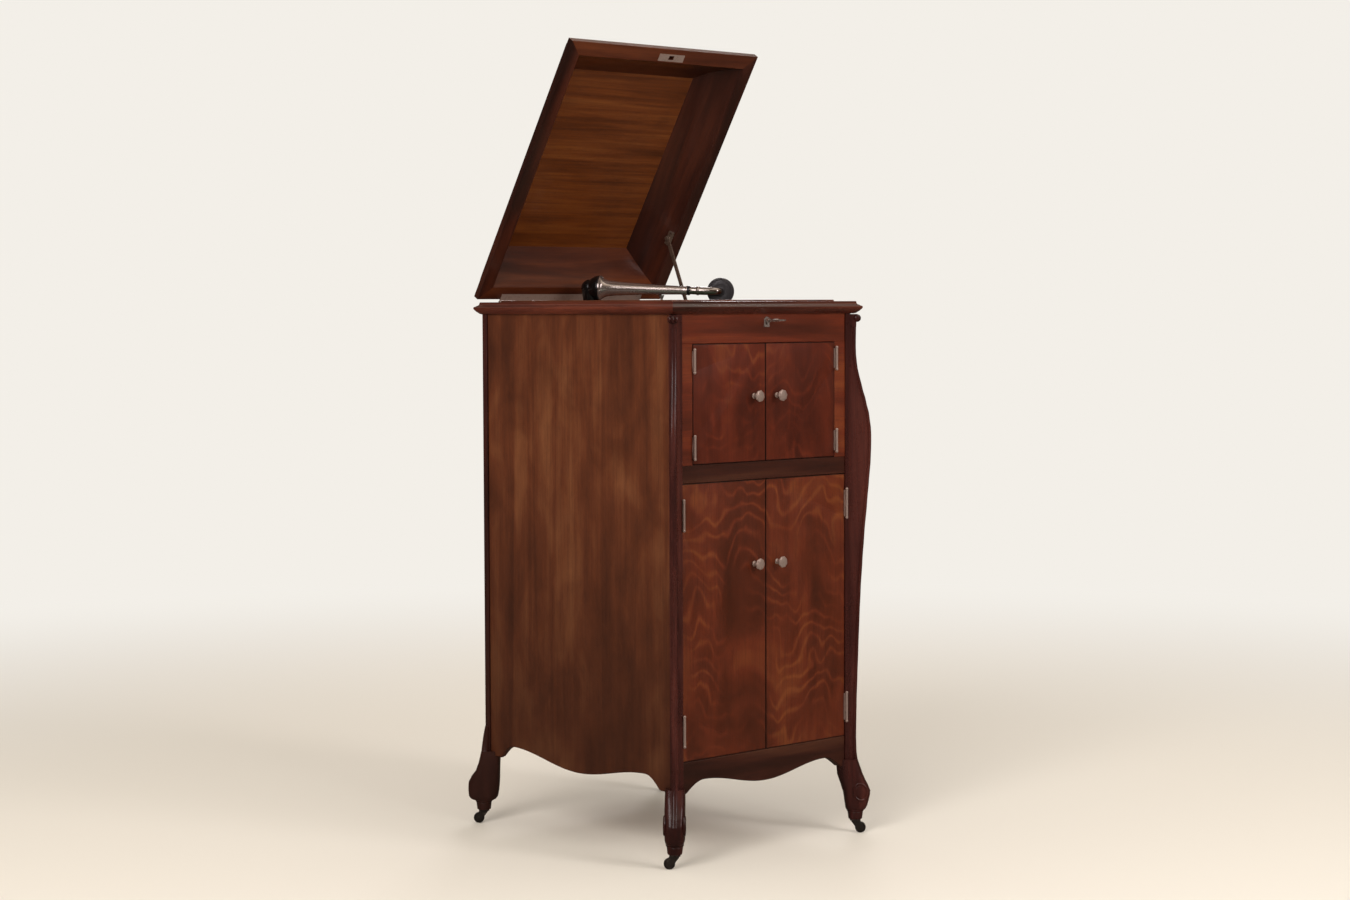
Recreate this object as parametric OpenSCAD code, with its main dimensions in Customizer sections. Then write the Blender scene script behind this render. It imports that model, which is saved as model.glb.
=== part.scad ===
// Floor-standing gramophone cabinet with four corner legs, opened lid, clockwork turntable and tone arm.
// Millimetres. Origin on the floor under the middle of the cabinet, front towards -Y, up is +Z.

/* [Case] */
// Width across the outer faces of the side panels
case_w = 484; // [460:1:520]
// Depth from the front face of the rails to the back face of the back panel
case_d = 582; // [560:1:620]
// Thickness of the side panels
panel_t = 13; // [10:0.5:16]
// Height of the frieze rail between the upper doors and the top moulding
frieze_h = 61; // [55:1:72]
// Thickness of the front rails, stiles and apron
rail_t = 20; // [19:0.5:24]
// Thickness of the back panel
back_t = 8; // [6:0.5:12]
// How far the corner posts stand proud of the panels and rails
post_proud = 3; // [2:0.25:4]
// Width of a corner post on the front
post_face = 23; // [22:0.5:28]
// Width of a corner post on the side
post_side = 14; // [12:0.5:18]
// Length of the post's inner tongue behind the side panel
post_tongue = 18; // [14:1:24]

/* [Corner scroll] */
// Thickness of the scroll on each front corner
scroll_t = 13; // [9:0.5:16]
// Greatest projection of the scroll from the corner
scroll_swell = 40; // [30:1:46]
// Depth of the scroll's widest place under the moulding
scroll_peak_drop = 256; // [220:1:300]
// Projection of the scroll at its slender places
scroll_waist = 9; // [7:0.5:12]
// Radius of the small rolled end under the moulding
scroll_roll_r = 8; // [5:0.5:9]

/* [Legs] */
// Height of the underside of the posts where the legs start
leg_top = 139; // [130:1:150]
// Height of the leg's lower end over the floor
leg_foot = 29; // [29:1:36]
// Width of a leg across the corner diagonal
leg_w = 40; // [34:1:46]
// Diameter of the ankle
ankle_d = 28; // [24:1:32]
// Projection of the knee from the corner
knee_out = 41; // [34:1:44]
// Height of the knee
knee_z = 81; // [74:1:90]
// Height of the step under the knee
foot_z = 48; // [45:1:54]
// Diameter of the round boss on the knee
boss_d = 33; // [26:1:36]

/* [Lower edges] */
// Height of the side panel's lower edge at its middle
side_edge = 144; // [139:1:156]
// Rise of the side panel's lower edge to its cusps
side_rise = 26; // [10:1:32]
// Distance of the side cusps from the middle
side_cusp = 205; // [180:1:215]
// Rise of the apron's lower edge to its cusps
apron_rise = 23; // [10:1:30]
// Distance of the apron cusps from the middle
apron_cusp = 165; // [140:1:180]

/* [Doors] */
// Height of the lower edge of the lower doors
lower_sill = 201; // [196:1:210]
// Height of the opening for the lower doors
lower_bay_h = 534; // [500:1:545]
// Height of the rail between the lower and the upper doors
mid_rail_h = 35; // [30:1:45]
// Height of the opening for the upper doors
upper_bay_h = 231; // [220:1:240]
// Width of the stiles beside the upper doors
stile_w = 29; // [20:1:40]
// Thickness of the doors
door_t = 18; // [15:0.5:19]
// Gap round each door
door_gap = 0.8; // [0.6:0.1:1.4]
// How far the meeting edge of each door slopes back, so that the doors pass each other
meet_bevel = 1.8; // [1.6:0.1:2.6]
// Distance of each knob from the middle
knob_x = 31; // [24:1:60]
// Height of the upper knobs over the lower edge of their doors
upper_knob_up = 128; // [80:1:160]
// Height of the lower knobs over the lower edge of their doors
lower_knob_up = 369; // [200:1:420]
// Width of a knob across its corners
knob_d = 24; // [18:1:28]
// Projection of a knob from the door
knob_len = 21; // [16:1:26]

/* [Door hinges] */
// Length of an upper door hinge
upper_hinge_len = 40; // [36:1:46]
// Length of a lower door hinge
lower_hinge_len = 54; // [46:1:60]
// Diameter of the knuckles
knuckle_d = 5; // [4.6:0.1:5.6]
// Diameter of the hinge pin
pin_d = 3; // [2.4:0.1:3.4]
// Distance of the pin in front of the doors
pin_out = 6.3; // [6.2:0.1:7]
// Thickness of the leaves
leaf_t = 1.4; // [1:0.1:1.8]
// Width of the leaves let into the wood
leaf_w = 14; // [10:0.5:16]
// Distance of the hinges from the ends of an upper door
upper_hinge_in = 13; // [10:1:30]
// Distance of the hinges from the ends of a lower door
lower_hinge_in = 33; // [26:1:60]

/* [Top moulding and well] */
// Height of the moulding from its seat to its flat top
moulding_h = 20; // [17:0.5:26]
// Overhang of the moulding's nose beyond the side panels
moulding_out = 16; // [14:0.5:20]
// Distance of the well's inner faces from the side panels' outer faces
well_in = 28; // [26:0.5:34]
// Thickness of the well's lining boards
liner_t = 6; // [5:0.5:6.5]
// Height of the lining's dust lip over the moulding
lip_rise = 3; // [1:0.5:4]
// Depth of the motor board's upper face under the moulding's seat
board_drop = 26; // [22:1:28]
// Thickness of the motor board
board_t = 16; // [12:1:18]

/* [Inner boards] */
// Thickness of the bottom board and of the dividing board
deck_t = 16; // [12:1:18]
// Thickness of a record shelf
shelf_t = 12; // [9:1:16]
// Number of record shelves
shelf_n = 2; // [1:1:4]
// Thickness of the horn's boards
horn_t = 8; // [6:0.5:10]
// Clearance between the horn and the motor over it
horn_clear = 29.4; // [22:0.1:40]
// Inner half width of the horn at its mouth
horn_mouth = 190; // [150:1:192]
// Inner half width of the horn at its back board
horn_end = 50; // [46:1:80]
// Number of louvre slats over the horn's mouth
slat_n = 9; // [5:1:12]
// Thickness of a louvre slat
slat_t = 4; // [3:0.5:6]
// Depth of the louvre slats
slat_d = 12; // [8:1:14]

/* [Lid] */
// Set-back of the lid's edge from the moulding's nose
lid_set = 6; // [5:0.5:9]
// Further set-back of the lid's rear edge
lid_rear_set = 4; // [3:0.5:6]
// Width of the lid's rim
rim_w = 30; // [28:0.5:34]
// Depth of the hollow inside the lid
lid_hollow = 66; // [62:1:72]
// Width of the sloping cove inside the rim
cove_w = 60; // [54:1:70]
// Thickness of the lid's top panel
lid_panel_t = 10; // [8:1:14]
// Height of the rim's upright edge
rim_edge_h = 14; // [10:1:18]
// Clearance under the closed lid
lid_gap = 1; // [0.8:0.1:1.6]
// Angle of the opened lid
lid_open = 58.36; // [50:0.01:65]

/* [Lid hinge and stay] */
// Length of the long lid hinge
lid_hinge_len = 386; // [300:2:400]
// Diameter of the lid hinge's knuckles
lid_knuckle_d = 6; // [5.6:0.1:6.6]
// Number of knuckles on the lid hinge
lid_knuckle_n = 9; // [5:2:13]
// Width of the lid hinge's leaves
lid_leaf_w = 13; // [10:0.5:16]
// Width of the stay bar
stay_w = 9; // [7:0.5:10]
// Thickness of the stay bar
stay_t = 2.5; // [2:0.1:3]
// Length of the stay bar below its pivot
stay_len = 233; // [225:1:250]
// Distance of the stay's pivot from the lid's rear edge
stay_s = 150; // [140:1:160]
// Diameter of the stay's pivot stud
stay_stud_d = 4; // [3:0.1:5]

/* [Lock] */
// Depth of the keyhole's round part under the moulding's seat
key_drop = 17; // [14:1:20]
// Sideways place of the keyhole
key_x = 3; // [0:0.5:5]
// Diameter of the key's shank
key_d = 5; // [4:0.1:5.6]
// Projection of the key from the rail
key_len = 50; // [44:1:56]
// Sideways place of the lock bolt
bolt_x = 17; // [16:0.5:24]

/* [Turntable] */
// Place of the spindle behind the middle, negative is towards the front
spindle_y = -48; // [-54:1:-42]
// Diameter of the spindle where a disc sits
spindle_d = 7.2; // [6.8:0.1:7.4]
// Diameter of the spindle's shaft in the motor
shaft_d = 8; // [7.6:0.1:9]
// Height of the spindle's tip over the felt
spindle_up = 15; // [12:1:16]
// Diameter of the platter
platter_d = 298; // [270:1:299]
// Height of the platter's upper face over the motor board
platter_up = 17.5; // [16:0.5:18]
// Height of the platter's rim
platter_rim = 13; // [9:1:14]
// Thickness of the felt
felt_t = 1.5; // [1:0.1:2]

/* [Clockwork] */
// Teeth of the great wheel and of the middle wheel
wheel_teeth = 60; // [60:1:60]
// Leaves of the pinions
pinion_teeth = 12; // [12:1:12]
// Tooth module of the great wheel
great_module = 1.5; // [1.4:0.05:1.55]
// Tooth module of the middle wheel
middle_module = 1; // [0.95:0.05:1.1]
// Outer diameter of the spring barrel
barrel_d = 84; // [78:1:88]
// Height of the spring barrel
barrel_h = 54; // [44:1:56]
// Thickness of the wheels
wheel_t = 4; // [3:0.5:4]
// Thickness of the motor plates
plate_t = 6; // [5:0.5:8]
// Turns of the mainspring
spring_turns = 9; // [6:1:11]
// Diameter of the motor's arbors
arbor_d = 8; // [6:0.5:9]

/* [Crank] */
// Diameter of the winding shaft
crank_d = 10; // [8:0.5:11]
// Throw of the crank arm
crank_throw = 150; // [120:1:170]
// Length of the wooden grip
grip_len = 70; // [60:1:85]
// Diameter of the wooden grip
grip_d = 26; // [22:1:30]

/* [Tone arm] */
// Sideways place of the tone arm's pivot
arm_x = -16; // [-20:1:-12]
// Distance of the tone arm's pivot from the well's rear lining
arm_in = 35; // [34:1:37]
// Height of the tone arm's axis at the pivot over the motor board
arm_up = 76; // [72:1:78]
// Heading of the parked tone arm from +X
arm_turn = -53; // [-56:0.5:-50]
// Slope of the tone arm down to the sound box
arm_tilt = 1.8; // [0.8:0.1:2]
// Distance from the pivot to the sound box
arm_len = 275; // [274:1:278]
// Radius of the arm's bell end
bell_r = 26.5; // [24:0.5:27]
// Radius of the arm tube at the bell
tube_r = 12.4; // [11:0.2:13]
// Radius of the arm tube at the swivel
tube_end_r = 8.7; // [8.4:0.1:9.4]
// Wall of the arm tube
tube_wall = 1.2; // [1:0.1:1.4]
// Radius of the gooseneck
neck_r = 6.4; // [5.6:0.2:6.8]
// Radius of the sound box
box_r = 28.5; // [26:0.5:29]
// Thickness of the sound box
box_t = 13; // [11:0.5:14]
// Free length of the needle
needle_len = 12; // [9:0.5:12.5]

/* [Casters] */
// Diameter of a caster wheel
wheel_d = 22; // [20:1:23]
// Width of a caster wheel
wheel_w = 9; // [7:0.5:10]
// Trail of the wheel behind the swivel
caster_trail = 10.5; // [8:0.5:12]
// Angle by which the front left caster stands turned
near_turn = -87; // [-180:1:180]
// Diameter of the caster's stem
stem_d = 8; // [6:0.5:9]

/* [Hidden] */
$fn = 48;
nickel = [0.75, 0.72, 0.70];
run_gap = 0.05;
body_gap = 0.3;
lower_head = lower_sill + lower_bay_h;
upper_sill = lower_head + mid_rail_h;
upper_head = upper_sill + upper_bay_h;
case_top = upper_head + frieze_h;
board_top = case_top - board_drop;
key_z = case_top - key_drop;
upper_knob_z = upper_sill + upper_knob_up;
lower_knob_z = lower_sill + lower_knob_up;
scroll_peak_z = case_top - scroll_peak_drop;
half_w = case_w / 2;
well_half_w = half_w - well_in;
half_d = case_d / 2;
front_y = -half_d;
rail_back = front_y + rail_t;
post_in = half_w + post_proud - post_face;
panel_in = half_w - panel_t;
post_front = half_d + post_proud;
panel_end = post_front - post_side;
tongue_end = panel_end - post_tongue;
// the moulding's depth runs past its width by this much on each side
dy = half_d - half_w;
nose = half_w + moulding_out;
frame_in = well_half_w + liner_t;
top_z = case_top + moulding_h;
well_half_d = well_half_w + dy - liner_t;
arm_y = well_half_d - arm_in;
arm_z = board_top + arm_up;
// doors
upper_pin_x = post_in - stile_w;
lower_pin_x = post_in;
pin_y = front_y - pin_out;
door_back = front_y + door_t;
// lid
lid_w = nose - lid_set;
lid_front = -(nose + dy) + 2 * lid_set;
lid_rear = nose + dy - lid_set - lid_rear_set;
lid_z = top_z + lid_gap;
hinge_y = lid_rear + lid_set;
hinge_z = lid_z - 0.4;
lid_top_h = lid_hollow + lid_panel_t;
inner_w = rim_w + cove_w;
// slope of the cove's lowest stretch, which carries the stay's bracket
cove_foot_w = 12;
cove_foot_h = 20;
stay_x = well_half_w - 5;
stay_y = lid_rear - stay_s;
stay_h = 7;
slot_y = well_half_d - 112;
slot_z = board_top - board_t / 2;
stay_ry = hinge_y + (stay_y - hinge_y) * cos(lid_open) + (lid_z + stay_h - hinge_z) * sin(lid_open);
stay_rz = hinge_z - (stay_y - hinge_y) * sin(lid_open) + (lid_z + stay_h - hinge_z) * cos(lid_open);
stay_lean = atan((stay_ry - slot_y) / (stay_rz - slot_z));
// lock
lock_y = rail_back - 5;
strike_w = 68;
strike_d = 16;
// turntable and motor
platter_z = board_top + platter_up;
felt_z = platter_z + felt_t;
great_r = great_module * wheel_teeth / 2;
great_pin_r = great_module * pinion_teeth / 2;
middle_r = middle_module * wheel_teeth / 2;
middle_pin_r = middle_module * pinion_teeth / 2;
middle_x = -(middle_r + middle_pin_r);
barrel_y = spindle_y + great_r + great_pin_r;
crown_r = 20;
plate_z = board_top - board_t - 4 - plate_t;
shaft_z = plate_z - 10;
bevel_r = 8;
crown_z = shaft_z - bevel_r - 0.6 - wheel_t;
great_z = crown_z - 1 - wheel_t;
barrel_z = great_z - barrel_h;
low_plate_z = barrel_z - 3 - plate_t;
middle_z = great_z + wheel_t + 10;
motor_x1 = middle_x - great_r - 14;
motor_x2 = great_r;
motor_y1 = spindle_y - great_r - 13;
motor_y2 = barrel_y + great_r + 9;
governor_wheel_r = 20;
worm_r = 4;
governor_y = spindle_y - governor_wheel_r - worm_r - body_gap;
governor_z = low_plate_z + plate_t + 32;
// horn
deck_top = upper_sill - 2;
horn_floor = deck_top + horn_t;
horn_roof = low_plate_z - horn_clear - horn_t;
horn_front = rail_back + 15;
horn_knee = -120;
horn_lintel = upper_head - 2;
throat_r = 28;
horn_back = arm_y - throat_r - horn_t;
throat_bore = 24.5;
throat_z = (horn_floor + horn_roof) / 2;
louvre_y = rail_back + 3;
// height over the scroll's peak at which it is slender again
scroll_fade = 0.74 * scroll_peak_drop;
// legs and casters
root2 = sqrt(2);
ankle_r = 8;
wheel_z = wheel_d / 2;
fork_top = leg_foot - body_gap;
grip_x = half_w + 30;

// ---------- helpers ----------

// a box given by its two opposite corners
module block(a, b) {
  translate(a)
    cube(b - a);
}

// a flat outline in (y, z) drawn through a thickness along X
module along_x(x1, x2) {
  translate([x1, 0, 0])
    rotate([90, 0, 90])
      linear_extrude(x2 - x1)
        children();
}

// a flat outline in (x, z) drawn through a thickness along Y
module along_y(y1, y2) {
  translate([0, y2, 0])
    rotate([90, 0, 0])
      linear_extrude(y2 - y1)
        children();
}

// the same piece on the left and on the right
module both_sides() {
  children();
  mirror([1, 0, 0])
    children();
}

// height of a bow-shaped lower edge at a distance d from its middle
function bow(d, rise, cusp, end) =
  d <= cusp ? rise * (1 - cos(180 * d / cusp)) / 2 : rise * cos(90 * (d - cusp) / (end - cusp));

// the corner frame of a leg: X is outward along the diagonal, Z is up, quarter is 0..3 from front right
module at_corner(sx, sy) {
  translate([sx * half_w, sy * half_d, 0])
    rotate([0, 0, atan2(sy, sx)])
      children();
}

// ---------- case ----------

// outline of a front corner post seen from above, right-hand side
module front_post_plan() {
  flat = (scroll_t + 0.3) / root2;
  outer = half_w + post_proud;
  polygon([[post_in, -post_front], [outer - flat, -post_front], [outer, -post_front + flat],
           [outer, -panel_end], [panel_in, -panel_end], [panel_in, -tongue_end], [post_in, -tongue_end]]);
}

// outline of a rear corner post seen from above, right-hand side
module rear_post_plan() {
  outer = half_w + post_proud;
  polygon([[post_in, tongue_end], [panel_in, tongue_end], [panel_in, panel_end], [outer, panel_end],
           [outer, post_front], [post_in, post_front]]);
}

// projection of the corner scroll at height z: slender, swelling to its peak, slender again
function scroll_r(z) =
  z > scroll_peak_z
    ? scroll_waist - 1 + (scroll_swell - scroll_waist + 1)
      * pow(cos(min(90, 90 * (z - scroll_peak_z) / scroll_fade)), 2)
    : scroll_waist + (scroll_swell - scroll_waist)
      * pow(cos(90 * (scroll_peak_z - z) / (scroll_peak_z - leg_top)), 1.6);

// side view of the corner scroll, with its rolled end at the top
module scroll_profile() {
  top = case_top - 5.6;
  foot = leg_top - 1;
  steps = 26;
  polygon(concat(
    [[-3, foot], [15.5, foot], [12, foot + 14]],
    [for (i = [1 : steps]) let(z = foot + 14 + (top - 26 - foot - 14) * i / steps)
          [scroll_r(z) + (i == 1 ? 1 : 0), z]],
    [[scroll_waist + 4, top - 16], [-3, top - 16]]));
  translate([scroll_waist + 2, top - scroll_roll_r])
    circle(r = scroll_roll_r);
  translate([-3, top - 18])
    square([scroll_waist + 5, 18]);
}

// side view of a front leg: cabriole knee over a tapering shank
module front_leg_profile() {
  polygon([[-31, leg_top], [-29.5, knee_z + 41], [-26, knee_z + 31], [-21.5, knee_z + 17],
           [-17, knee_z + 3], [-15, knee_z - 12], [-12.5, foot_z + 3], [-11, foot_z],
           [knee_out - 12.5, foot_z], [knee_out - 8, foot_z + 9], [knee_out - 5, knee_z - 12],
           [knee_out - 2.4, knee_z - 2], [knee_out - 2.4, knee_z + 4], [knee_out - 8, knee_z + 17],
           [knee_out - 14, knee_z + 28], [21.5, knee_z + 41], [16.4, leg_top - 3], [15.5, leg_top]]);
}

// side view of a rear leg: straight inside, with a fuller knee
module rear_leg_profile() {
  polygon([[-27, leg_top], [-25.5, knee_z + 8], [-24, knee_z - 11], [-22, foot_z + 10],
           [-17, foot_z + 2], [-12, foot_z], [knee_out - 15, foot_z], [knee_out - 7, foot_z + 1],
           [knee_out - 2, foot_z + 8], [knee_out - 0.5, knee_z - 10], [knee_out - 1, knee_z + 5],
           [knee_out - 6, knee_z + 15], [knee_out - 18, knee_z + 32], [17, knee_z + 50], [15, leg_top]]);
}

// side view of the ridge by which the corner scroll runs out over a front leg's knee
module leg_ridge() {
  polygon([[5, leg_top + 1], [17, leg_top + 1], [18, leg_top - 3], [23, knee_z + 41],
           [knee_out - 12.5, knee_z + 28], [knee_out - 6.5, knee_z + 17], [knee_out - 1.2, knee_z + 4],
           [knee_out - 16, knee_z + 4], [5, knee_z + 38]]);
}

// front view of a leg: parallel down to the step under the knee
module leg_face() {
  w = leg_w / 2;
  polygon([[-w, leg_top], [-w, foot_z + 7], [-w + 4, foot_z], [w - 4, foot_z],
           [w, foot_z + 7], [w, leg_top]]);
}

// one leg in its corner frame, with a front knee's round bosses, the ankle ring and the caster's hole
module leg(front) {
  difference() {
    union() {
      intersection() {
        along_y(-leg_w / 2, leg_w / 2)
          if (front)
            front_leg_profile();
          else
            rear_leg_profile();
        along_x(-40, knee_out + 4)
          leg_face();
      }
      if (front)
        translate([knee_out - boss_d / 2 - 6, 0, knee_z + 5])
          rotate([90, 0, 0])
            cylinder(h = leg_w + 3, d = boss_d, center = true);
      translate([ankle_r, 0, leg_foot])
        cylinder(h = foot_z - 3 - leg_foot, d1 = ankle_d, d2 = ankle_d + 3);
      translate([ankle_r, 0, foot_z - 4])
        cylinder(h = 5, d = ankle_d + 7);
    }
    translate([ankle_r, 0, leg_foot - 1])
      cylinder(h = 33, d = stem_d + 3 + 2 * run_gap);
  }
}

module front_posts() {
  color([0.24, 0.12, 0.08])
    both_sides() {
      difference() {
        translate([0, 0, leg_top])
          linear_extrude(case_top - leg_top)
            front_post_plan();
        leaf_pockets(lower_pin_x, lower_sill, lower_head, lower_hinge_len, lower_hinge_in);
      }
      at_corner(1, -1) {
        along_y(-scroll_t / 2, scroll_t / 2) {
          scroll_profile();
          leg_ridge();
        }
        leg(true);
      }
    }
}

module rear_posts() {
  color([0.24, 0.12, 0.08])
    both_sides() {
      translate([0, 0, leg_top])
        linear_extrude(case_top - leg_top)
          rear_post_plan();
      at_corner(1, 1) {
        along_y(-10, 10)
          polygon([[-3, leg_top - 1], [15.5, leg_top - 1], [11.5, leg_top + 21],
                   [8, leg_top + 45], [4, leg_top + 65],
                   [-3, leg_top + 65]]);
        leg(false);
      }
    }
}

// one side panel with its bow-shaped lower edge, right-hand side
module side_panel() {
  n = 24;
  end = panel_end - 34;
  along_x(panel_in, half_w)
    polygon(concat(
      [[panel_end, case_top], [panel_end, side_edge - 2]],
      [for (i = [0 : n]) let(d = end * (1 - 2 * i / n))
        [d, side_edge + bow(abs(d), side_rise, side_cusp, end)]],
      [[-panel_end, side_edge - 2], [-panel_end, case_top]]));
}

module side_panel_left() {
  color([0.40, 0.22, 0.14])
    mirror([1, 0, 0])
      side_panel();
}

module side_panel_right() {
  color([0.40, 0.22, 0.14])
    difference() {
      side_panel();
      translate([panel_in - 1, barrel_y, shaft_z])
        rotate([0, 90, 0])
          cylinder(h = panel_t + 2, d = crank_d + 2);
    }
}

module back_panel() {
  color([0.30, 0.18, 0.12])
    block([-post_in, half_d - back_t, leg_top + 20], [post_in, half_d, case_top]);
}

// pocket in the front edge of a stile for the fixed hinge leaves
module leaf_pockets(pin_x, sill, head, len, inset) {
  for (z = [sill + inset, head - inset - len])
    block([pin_x, -post_front - 1, z], [pin_x + leaf_t, front_y + leaf_w, z + len]);
}

module front_frame() {
  frieze_low = upper_head + door_gap / 2;
  color([0.30, 0.15, 0.09]) {
    difference() {
      block([-post_in, front_y, frieze_low], [post_in, rail_back, case_top]);
      block([bolt_x - 37, front_y + 3, key_z - 15], [bolt_x + 15, rail_back + 1, case_top + 1]);
      keyhole(front_y - 1, front_y + 4);
    }
    both_sides()
      difference() {
        block([upper_pin_x, front_y, upper_sill - door_gap / 2], [post_in, rail_back, frieze_low]);
        leaf_pockets(upper_pin_x, upper_sill, upper_head, upper_hinge_len, upper_hinge_in);
      }
    block([-post_in, front_y, lower_head + door_gap / 2], [post_in, rail_back, upper_sill - door_gap / 2]);
  }
}

module front_apron() {
  n = 20;
  end = post_in - 10;
  color([0.30, 0.15, 0.09])
    along_y(front_y, rail_back)
      polygon(concat(
        [[post_in, lower_sill - door_gap / 2], [post_in, leg_top]],
        [for (i = [0 : n]) let(d = end * (1 - 2 * i / n))
          [d, leg_top + bow(abs(d), apron_rise, apron_cusp, end)]],
        [[-post_in, leg_top], [-post_in, lower_sill - door_gap / 2]]));
}

// a board across the inside of the case, notched round the posts' tongues
module deck(z1, z2, y1, y2) {
  block([-panel_in, -tongue_end, z1], [panel_in, tongue_end, z2]);
  block([-post_in, y1, z1], [post_in, -tongue_end, z2]);
  block([-post_in, tongue_end, z1], [post_in, y2, z2]);
}

module bottom_board() {
  color([0.42, 0.27, 0.17])
    deck(lower_sill - 2 - deck_t, lower_sill - 2, rail_back, half_d - back_t);
}

module divider_board() {
  color([0.42, 0.27, 0.17])
    deck(deck_top - deck_t, deck_top, rail_back, half_d - back_t);
}

module record_shelves() {
  bay = (deck_top - deck_t - lower_sill + 2 - shelf_n * shelf_t) / (shelf_n + 1);
  color([0.45, 0.29, 0.18])
    for (i = [1 : shelf_n])
      translate([0, 0, lower_sill - 2 + i * bay + (i - 1) * shelf_t])
        block([-panel_in, -tongue_end, 0], [panel_in, tongue_end, shelf_t]);
}

// section of the top moulding: distance from the middle plane, height
module moulding_section() {
  out = half_w + post_proud + body_gap;
  polygon([[frame_in, case_top], [out, case_top], [out, case_top - 5], [out + 3.5, case_top - 3.5],
           [nose - 5, case_top + 0.5], [nose - 3.5, case_top + 2],
           [nose, case_top + 6.5], [nose, case_top + 9.5],
           [nose - 3, case_top + 11], [nose - 7, case_top + 13.5], [nose - 9.5, case_top + 16.5],
           [nose - 10, top_z], [frame_in, top_z]]);
}

// a mitred length of moulding, outer half sizes w and d, along the front
module mitred(w, d, in) {
  intersection() {
    rotate([90, 0, 0])
      rotate([0, -90, 0])
        linear_extrude(2 * w, center = true)
          children();
    linear_extrude(case_top * 2)
      polygon([[-w, -d], [w, -d], [w - in, -d + in], [-w + in, -d + in]]);
  }
}

module top_moulding() {
  depth = nose - frame_in;
  color([0.33, 0.17, 0.11]) {
    difference() {
      mitred(nose, nose + dy, depth)
        translate([dy, 0])
          moulding_section();
      block([bolt_x - 4.3, lock_y - 2.8, case_top - 1], [bolt_x + 4.3, lock_y + 2.8, top_z + 1]);
    }
    difference() {
      mirror([0, 1, 0])
        mitred(nose, nose + dy, depth)
          translate([dy, 0])
            moulding_section();
      block([-lid_hinge_len / 2, hinge_y - lid_leaf_w - lid_set, top_z - leaf_t],
            [lid_hinge_len / 2, hinge_y + 9, top_z + 1]);
    }
    both_sides()
      rotate([0, 0, 90])
        mitred(nose + dy, nose, depth)
          moulding_section();
  }
}

module well_liners() {
  end = frame_in + dy;
  color([0.36, 0.19, 0.12]) {
    both_sides() {
      block([well_half_w, -end, board_top], [frame_in, end, top_z]);
      block([well_half_w, -well_half_d - liner_t, top_z],
            [frame_in, well_half_d + liner_t, top_z + lip_rise]);
    }
    for (s = [0, 1])
      mirror([0, s, 0]) {
        block([-well_half_w, well_half_d, board_top], [well_half_w, end, top_z]);
        block([-well_half_w, well_half_d, top_z], [well_half_w, well_half_d + liner_t, top_z + lip_rise]);
      }
  }
}

// the board that carries the turntable, with a side batten in two lengths that leave the stay's slot
module motor_board() {
  edge = stay_x - 5;
  low = board_top - board_t;
  color([0.38, 0.20, 0.12]) {
    difference() {
      union() {
        block([-panel_in, -tongue_end, low], [edge, tongue_end, board_top]);
        block([-post_in, rail_back, low], [edge, -tongue_end, board_top]);
        block([-post_in, tongue_end, low], [edge, half_d - back_t, board_top]);
      }
      translate([0, spindle_y, low - 1])
        cylinder(h = board_t + 2, d = shaft_d + 12);
      translate([arm_x, arm_y, low - 1])
        cylinder(h = board_t + 2, r = throat_bore);
    }
    block([edge, -tongue_end, low], [panel_in, slot_y - 15, board_top]);
    block([edge, slot_y + 17, low], [panel_in, tongue_end, board_top]);
  }
}

// ---------- horn ----------

// plan of the horn, wide at its mouth and narrow at its back board
module horn_plan(grow) {
  polygon([[-horn_mouth - grow, horn_front], [horn_mouth + grow, horn_front],
           [horn_end + grow, horn_back], [horn_end + grow, horn_back + 1],
           [-horn_end - grow, horn_back + 1], [-horn_end - grow, horn_back]]);
}

// a slab of the horn cut to its plan, drawn from a side outline
module horn_slab(grow) {
  intersection() {
    along_x(-horn_mouth - horn_t, horn_mouth + horn_t)
      children();
    linear_extrude(case_top)
      horn_plan(grow);
  }
}

module horn_boards() {
  color([0.50, 0.34, 0.20]) {
    horn_slab(horn_t)
      polygon([[horn_front, deck_top], [horn_back + 1, deck_top], [horn_back + 1, horn_floor],
               [horn_front, horn_floor]]);
    horn_slab(horn_t)
      polygon([[horn_front, horn_lintel - horn_t], [horn_knee, horn_roof], [horn_back + 1, horn_roof],
               [horn_back + 1, horn_roof + horn_t],
               [horn_knee, horn_roof + horn_t], [horn_front, horn_lintel]]);
    both_sides()
      intersection() {
        linear_extrude(case_top)
          polygon([[horn_mouth, horn_front], [horn_mouth + horn_t, horn_front],
                   [horn_end + horn_t, horn_back], [horn_end + horn_t, horn_back + 1],
                   [horn_end, horn_back + 1], [horn_end, horn_back]]);
        along_x(0, horn_mouth + horn_t)
          polygon([[horn_front, horn_floor - 1], [horn_back + 1, horn_floor - 1],
                   [horn_back + 1, horn_roof + 1],
                   [horn_knee, horn_roof + 1], [horn_front, horn_lintel - horn_t + 1]]);
      }
    difference() {
      block([-horn_end - horn_t, horn_back, deck_top],
            [horn_end + horn_t, horn_back + horn_t, horn_roof + horn_t]);
      translate([arm_x, horn_back - 1, throat_z])
        rotate([-90, 0, 0])
          cylinder(h = horn_t + 2, r = throat_bore);
    }
  }
}

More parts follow.
